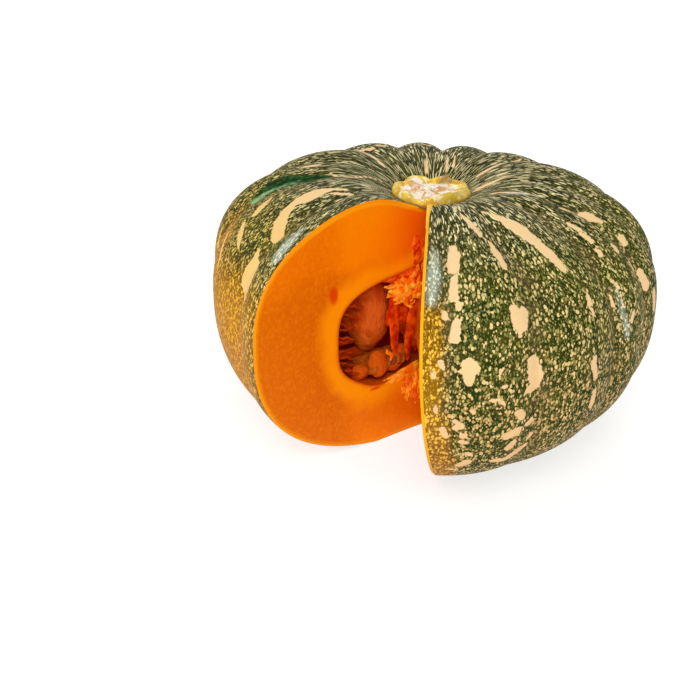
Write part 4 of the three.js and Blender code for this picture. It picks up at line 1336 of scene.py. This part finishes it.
# Every tuft is a path of four places for fibres(); those on a cut bow out by sin(pi k), k from 0 to 1
def buildTufts():
    draw = np.random.default_rng(tufts["seed"])
    grids, tones = [], []

    def add(made, tone):
        grids.extend(list(made))
        tones.extend(np.broadcast_to(tone, len(made)).tolist())

    for side in ("left", "right"):
        run = cutRun(side)
        torn, tornTones = cutLumps(side, tufts["roofLumps"], wrinkle=1.1, seed=150, columns=40, rows=28)
        grids += torn
        tones += tornTones
        # Curly torn ends that hang from it
        count = tufts["hanging"]
        alongs, behinds = draw.uniform(4.0, 18.5, count), draw.uniform(0.3, 5.0, count)
        start = np.stack([alongs, behinds, draw.normal(82.0, 3.0, count)], -1)
        way = scatter(draw, count, (0, 1.9), (-0.5, 1.0), (-1.3, 1.6))
        bend = scatter(draw, count, (0, 2.2), (0, 0.8), (0, 1.8))
        spots = np.stack([start, start + way, start + way * 1.8 + bend, start + way * 1.6 + bend * 1.9], 1)
        spots[..., 1] = np.maximum(spots[..., 1], 0.2)
        paths = besideCut(side, spots[..., 0], spots[..., 1], spots[..., 2])
        radii, widths = draw.uniform(0.45, 1.0, count), draw.uniform(1, 2.2, count)
        made = fibres(paths, radii, widths, run, waver=1.0, seed=47, steps=14, sides=7, blunt=0.35)
        add(made, draw.uniform(0.78, 1.0, count))
        # Torn fibres lying on the cut above the cavity, close to the apex
        count = tufts["lying"]
        along, behind = draw.uniform(1.5, 9.0, count), draw.uniform(0.2, 0.9, count)
        height = draw.uniform(82, 110, count)
        down = draw.uniform(5, 12, count)
        paths = np.stack([besideCut(side, along + k * down * 0.32,
                                    behind - 0.9 * np.sin(np.pi * k), height - k * down)
                          for k in tufts["thirds"]], 1)
        radii, widths = draw.uniform(0.4, 0.8, count), draw.uniform(1, 2.4, count)
        made = fibres(paths, radii, widths, run, waver=0.5, seed=53, steps=12, sides=6, blunt=0.35)
        add(made, draw.uniform(0.5, 0.85, count))
        # Torn ridge along the cavity's floor
        count = tufts["ridge"]
        shift = draw.normal(0, 0.9, (count, 1))
        reach = np.array(tufts["ridgeReach"]) + draw.normal(0, 2.2, (count, 4))
        level = np.array(tufts["ridgeLevel"]) + shift + draw.normal(0, 0.5, (count, 4))
        paths = besideCut(side, reach, 0.4 + 0.5 * draw.random((count, 4)), level)
        radii, widths = draw.uniform(0.6, 1.0, count), draw.uniform(1, 1.8, count)
        made = fibres(paths, radii, widths, run, waver=0.7, seed=57, steps=16, sides=7, blunt=0.3)
        add(made, draw.uniform(0.75, 1.0, count))
        # And below it, fanning down to the base
        count = tufts["fan"]
        along, behind = draw.uniform(4, 16, count), draw.uniform(0.2, 0.8, count)
        height = draw.uniform(24, 35.5, count)
        down = draw.uniform(8, 17, count) * (1 - (along - 4) / 26)
        slant = draw.uniform(-0.35, 0.05, count)
        paths = np.stack([besideCut(side, np.maximum(along + k * down * slant, 1.2),
                                    behind - 0.8 * np.sin(np.pi * k), height - k * down)
                          for k in tufts["thirds"]], 1)
        radii, widths = draw.uniform(0.3, 0.5, count), draw.uniform(1, 2.2, count)
        made = fibres(paths, radii, widths, run, waver=0.6, seed=59, steps=12, sides=6, blunt=0.35)
        add(made, draw.uniform(0.7, 0.92, count))
        # A pale scrap on the nearest seed lump
        made = fibres(cutPaths(side, [tufts["scrap"]]), 0.7, 1.4, run,
                      waver=0.6, seed=71, steps=14, sides=8, blunt=0.3)
        add(made, 0.85)
    piece = joinGrids("pulpTufts", grids, tones, fibreMaterial())


def pulpMaterial():
    material, tree, shader = newMaterial("softPulp")
    spot = millimetres(tree)
    clouds = noise(tree, spot, 0.09, 4.0, 0.6, 0.8)
    body = blend(tree, ramp(tree, clouds, 0.35, 0.65), *pulpTones["body"])
    body = blend(tree, ramp(tree, attribute(tree, "tone"), 0.45, 0.9), body, pulpTones["seedLumps"])
    veins = noise(tree, millimetres(tree, 0.4), 0.5, 5.0, 0.7, 1.5)
    body = blend(tree, times(tree, ramp(tree, veins, 0.54, 0.72), 0.4), body, pulpTones["veins"])
    setFinish(tree, shader, body, pulp["finish"])
    addRelief(tree, shader, veins, *pulp["relief"])
    return material


# Fibres: from deep red to bright orange by tone
fibre = {
    "low": ((132, 32, 0), (196, 70, 4)),
    "red": ((184, 30, 0), (238, 86, 0)),
    "bright": ((252, 112, 0), (255, 184, 44)),
    "finish": {
        "Roughness": 0.4,
        "Specular IOR Level": 0.12,
        "Subsurface Weight": 0.2,
        "Subsurface Radius": (1.0, 0.4, 0.1),
        "Subsurface Scale": 0.003,
        "Emission Strength": 0.14,      # painted light: the fibres glow in their own colour, standing in for light let through
    },
}


def fibreMaterial():
    material, tree, shader = newMaterial("pulpFibre")
    tone = attribute(tree, "tone")
    clouds = noise(tree, millimetres(tree), 0.25)
    patches = ramp(tree, clouds, 0.35, 0.65)
    body = blend(tree, clouds, *fibre["low"])
    body = blend(tree, ramp(tree, tone, 0.3, 0.5), body, blend(tree, patches, *fibre["red"]))
    body = blend(tree, ramp(tree, tone, 0.6, 0.9), body, blend(tree, patches, *fibre["bright"]))
    setFinish(tree, shader, body, fibre["finish"])
    # Painted light: the fibres' own colour also glows
    tree.links.new(body, shader.inputs["Emission Color"])
    return material


# Seeds: flat ovals drawn in towards the root end, lying on each other in a row beside each cut
seeds = {
    "seed": 61,
    "length": 18.0,
    "width": 10.5,
    "thickness": 4.0,
    "taper": 0.42,
    "rimShare": 0.86,       # where the raised rim runs, as a share of the way out
    "rimWidth": 0.08,
    "columns": 32,
    "rows": 22,
    "inRow": 7,
    "pitch": 3.1,
    "lean": 52.0,
    "turn": (78, 10),       # degrees to the cut, and how much more by chance
    "along": 15.0,
    "behind": 9.5,
    "height": 40.5,
    "lift": 1.6,            # by chance
    "tones": ((178, 88, 18), (142, 58, 8)),
    "finish": {"Roughness": 0.35, "Specular IOR Level": 0.05},
}


# Oval (cos v, sin v cos u (1 - taper x), sin v sin u) with a raised rim, leant over, turned and put in
# the row
def buildSeeds(name, side):
    draw = np.random.default_rng(seeds["seed"])
    sign = -1 if side == "left" else 1
    base = cutAngle(side)
    around, down = ballAngles(seeds["columns"], seeds["rows"])
    least, more = seeds["turn"]
    grids = []
    for i in range(seeds["inRow"]):
        x = np.cos(down)
        y = np.sin(down) * np.cos(around) * (1 - seeds["taper"] * np.maximum(0, x))
        flat = np.sin(down) * np.sin(around)
        rim = np.exp(-((np.hypot(x, y) - seeds["rimShare"]) / seeds["rimWidth"]) ** 2)
        z = np.sign(flat) * np.abs(flat) ** 0.7 * (0.82 + 0.2 * rim)
        x, y, z = x * seeds["length"] / 2, y * seeds["width"] / 2, z * seeds["thickness"] / 2
        y, z = turnRound(y, z, np.radians(sign * seeds["lean"]))
        x, y = turnRound(x, y, np.radians(base + sign * (least + more * draw.random())))
        height = seeds["height"] + seeds["lift"] * draw.random()
        centre = besideCut(side, seeds["along"] + i * seeds["pitch"], seeds["behind"], height)
        grids.append(np.stack([x, y, z], -1) + centre)
    piece = joinGrids(name, grids, [draw.random() for _ in grids], seedMaterial())
    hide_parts("seeds_left" if side == "left" else "seeds_right")


def seedMaterial():
    material, tree, shader = newMaterial("coatedSeed")
    clouds = noise(tree, millimetres(tree), 0.2, 4.0)
    body = blend(tree, ramp(tree, clouds, 0.35, 0.65), *seeds["tones"])
    setFinish(tree, shader, body, seeds["finish"])
    return material


# Pale floor, soft key light from the upper left, and broad fill. Each lamp has its name, its size in metres,
# its watts and its place in metres.
stage = {
    "floorHalf": 4000,
    "floorLevel": -0.2,
    "floorGrey": 0.4,
    "floorGlow": 0.72,
    "roomLight": 0.55,
    "aim": (0, 0, 0.07),
    "lamps": (
        ("keyLight", 0.7, 11.0, (0.45, -1.0, 0.95)),
        ("leftLight", 0.5, 4.0, (-1.3, -0.2, 0.6)),
        ("backLight", 0.5, 3.5, (-0.38, 1.1, 0.9)),
    ),
}


def buildStage():
    half, level = stage["floorHalf"], stage["floorLevel"]
    corners = [(-half, -half, level), (half, -half, level), (half, half, level), (-half, half, level)]
    floor = makePiece("floor", corners, [(0, 1, 2, 3)], closed=False)
    material, _, shader = newMaterial("paleFloor")
    grey, white = stage["floorGrey"], (1.0, 1.0, 1.0, 1)
    shader.inputs["Base Color"].default_value = (grey, grey, grey, 1)
    shader.inputs["Roughness"].default_value = 0.9
    shader.inputs["Specular IOR Level"].default_value = 0.0
    shader.inputs["Emission Color"].default_value = white
    shader.inputs["Emission Strength"].default_value = stage["floorGlow"]
    floor.data.materials.append(material)

    world = bpy.data.worlds.new("softRoom")
    world.use_nodes = True
    background = world.node_tree.nodes["Background"]
    background.inputs["Color"].default_value = white
    background.inputs["Strength"].default_value = stage["roomLight"]
    bpy.context.scene.world = world

    for name, size, power, spot in stage["lamps"]:
        lamp = bpy.data.lights.new(name, "AREA")
        lamp.shape = "DISK"
        lamp.size = size
        lamp.energy = power
        holder = bpy.data.objects.new(name, lamp)
        bpy.context.scene.collection.objects.link(holder)
        holder.location = spot
        way = np.array(spot) - np.array(stage["aim"])
        tilt = np.arctan2(np.hypot(way[0], way[1]), way[2])
        holder.rotation_euler = (tilt, 0, np.arctan2(way[0], -way[1]))


# The photograph's viewpoint
cameraPlace = {
    "azimuth": 28.0,
    "elevation": 25.02,
    "distance": 0.700,
    "aim": (-0.04096, 0.0356),      # to the right of the fruit's axis as the camera sees it, and up
    "focal": 1309.2,                # pixels
    "frame": 700,                   # pixels
    "sensor": 36,
}


def buildCamera():
    turn, lift = np.radians(cameraPlace["azimuth"]), np.radians(cameraPlace["elevation"])
    side, height = cameraPlace["aim"]
    back = np.array([np.sin(turn) * np.cos(lift), -np.cos(turn) * np.cos(lift), np.sin(lift)])
    aim = np.array([side * np.cos(turn), side * np.sin(turn), height])
    lens = bpy.data.cameras.new("camera")
    lens.sensor_width = cameraPlace["sensor"]
    lens.lens = cameraPlace["focal"] / cameraPlace["frame"] * cameraPlace["sensor"]
    camera = bpy.data.objects.new("camera", lens)
    bpy.context.scene.collection.objects.link(camera)
    camera.location = aim + back * cameraPlace["distance"]
    camera.rotation_euler = (np.pi / 2 - lift, 0, turn)
    bpy.context.scene.camera = camera


bpy.context.scene.view_settings.view_transform = "Standard"
buildCamera()
buildStage()
print("camera and light placed")
buildRind()
print("rind made")
buildFlesh()
print("flesh made")
buildStem()
print("stem made")
buildPulpLobes()
buildPulpFibres()
buildTufts()
print("pulp made")
buildSeeds("seedsLeft", "left")
buildSeeds("seedsRight", "right")
print("seeds made")
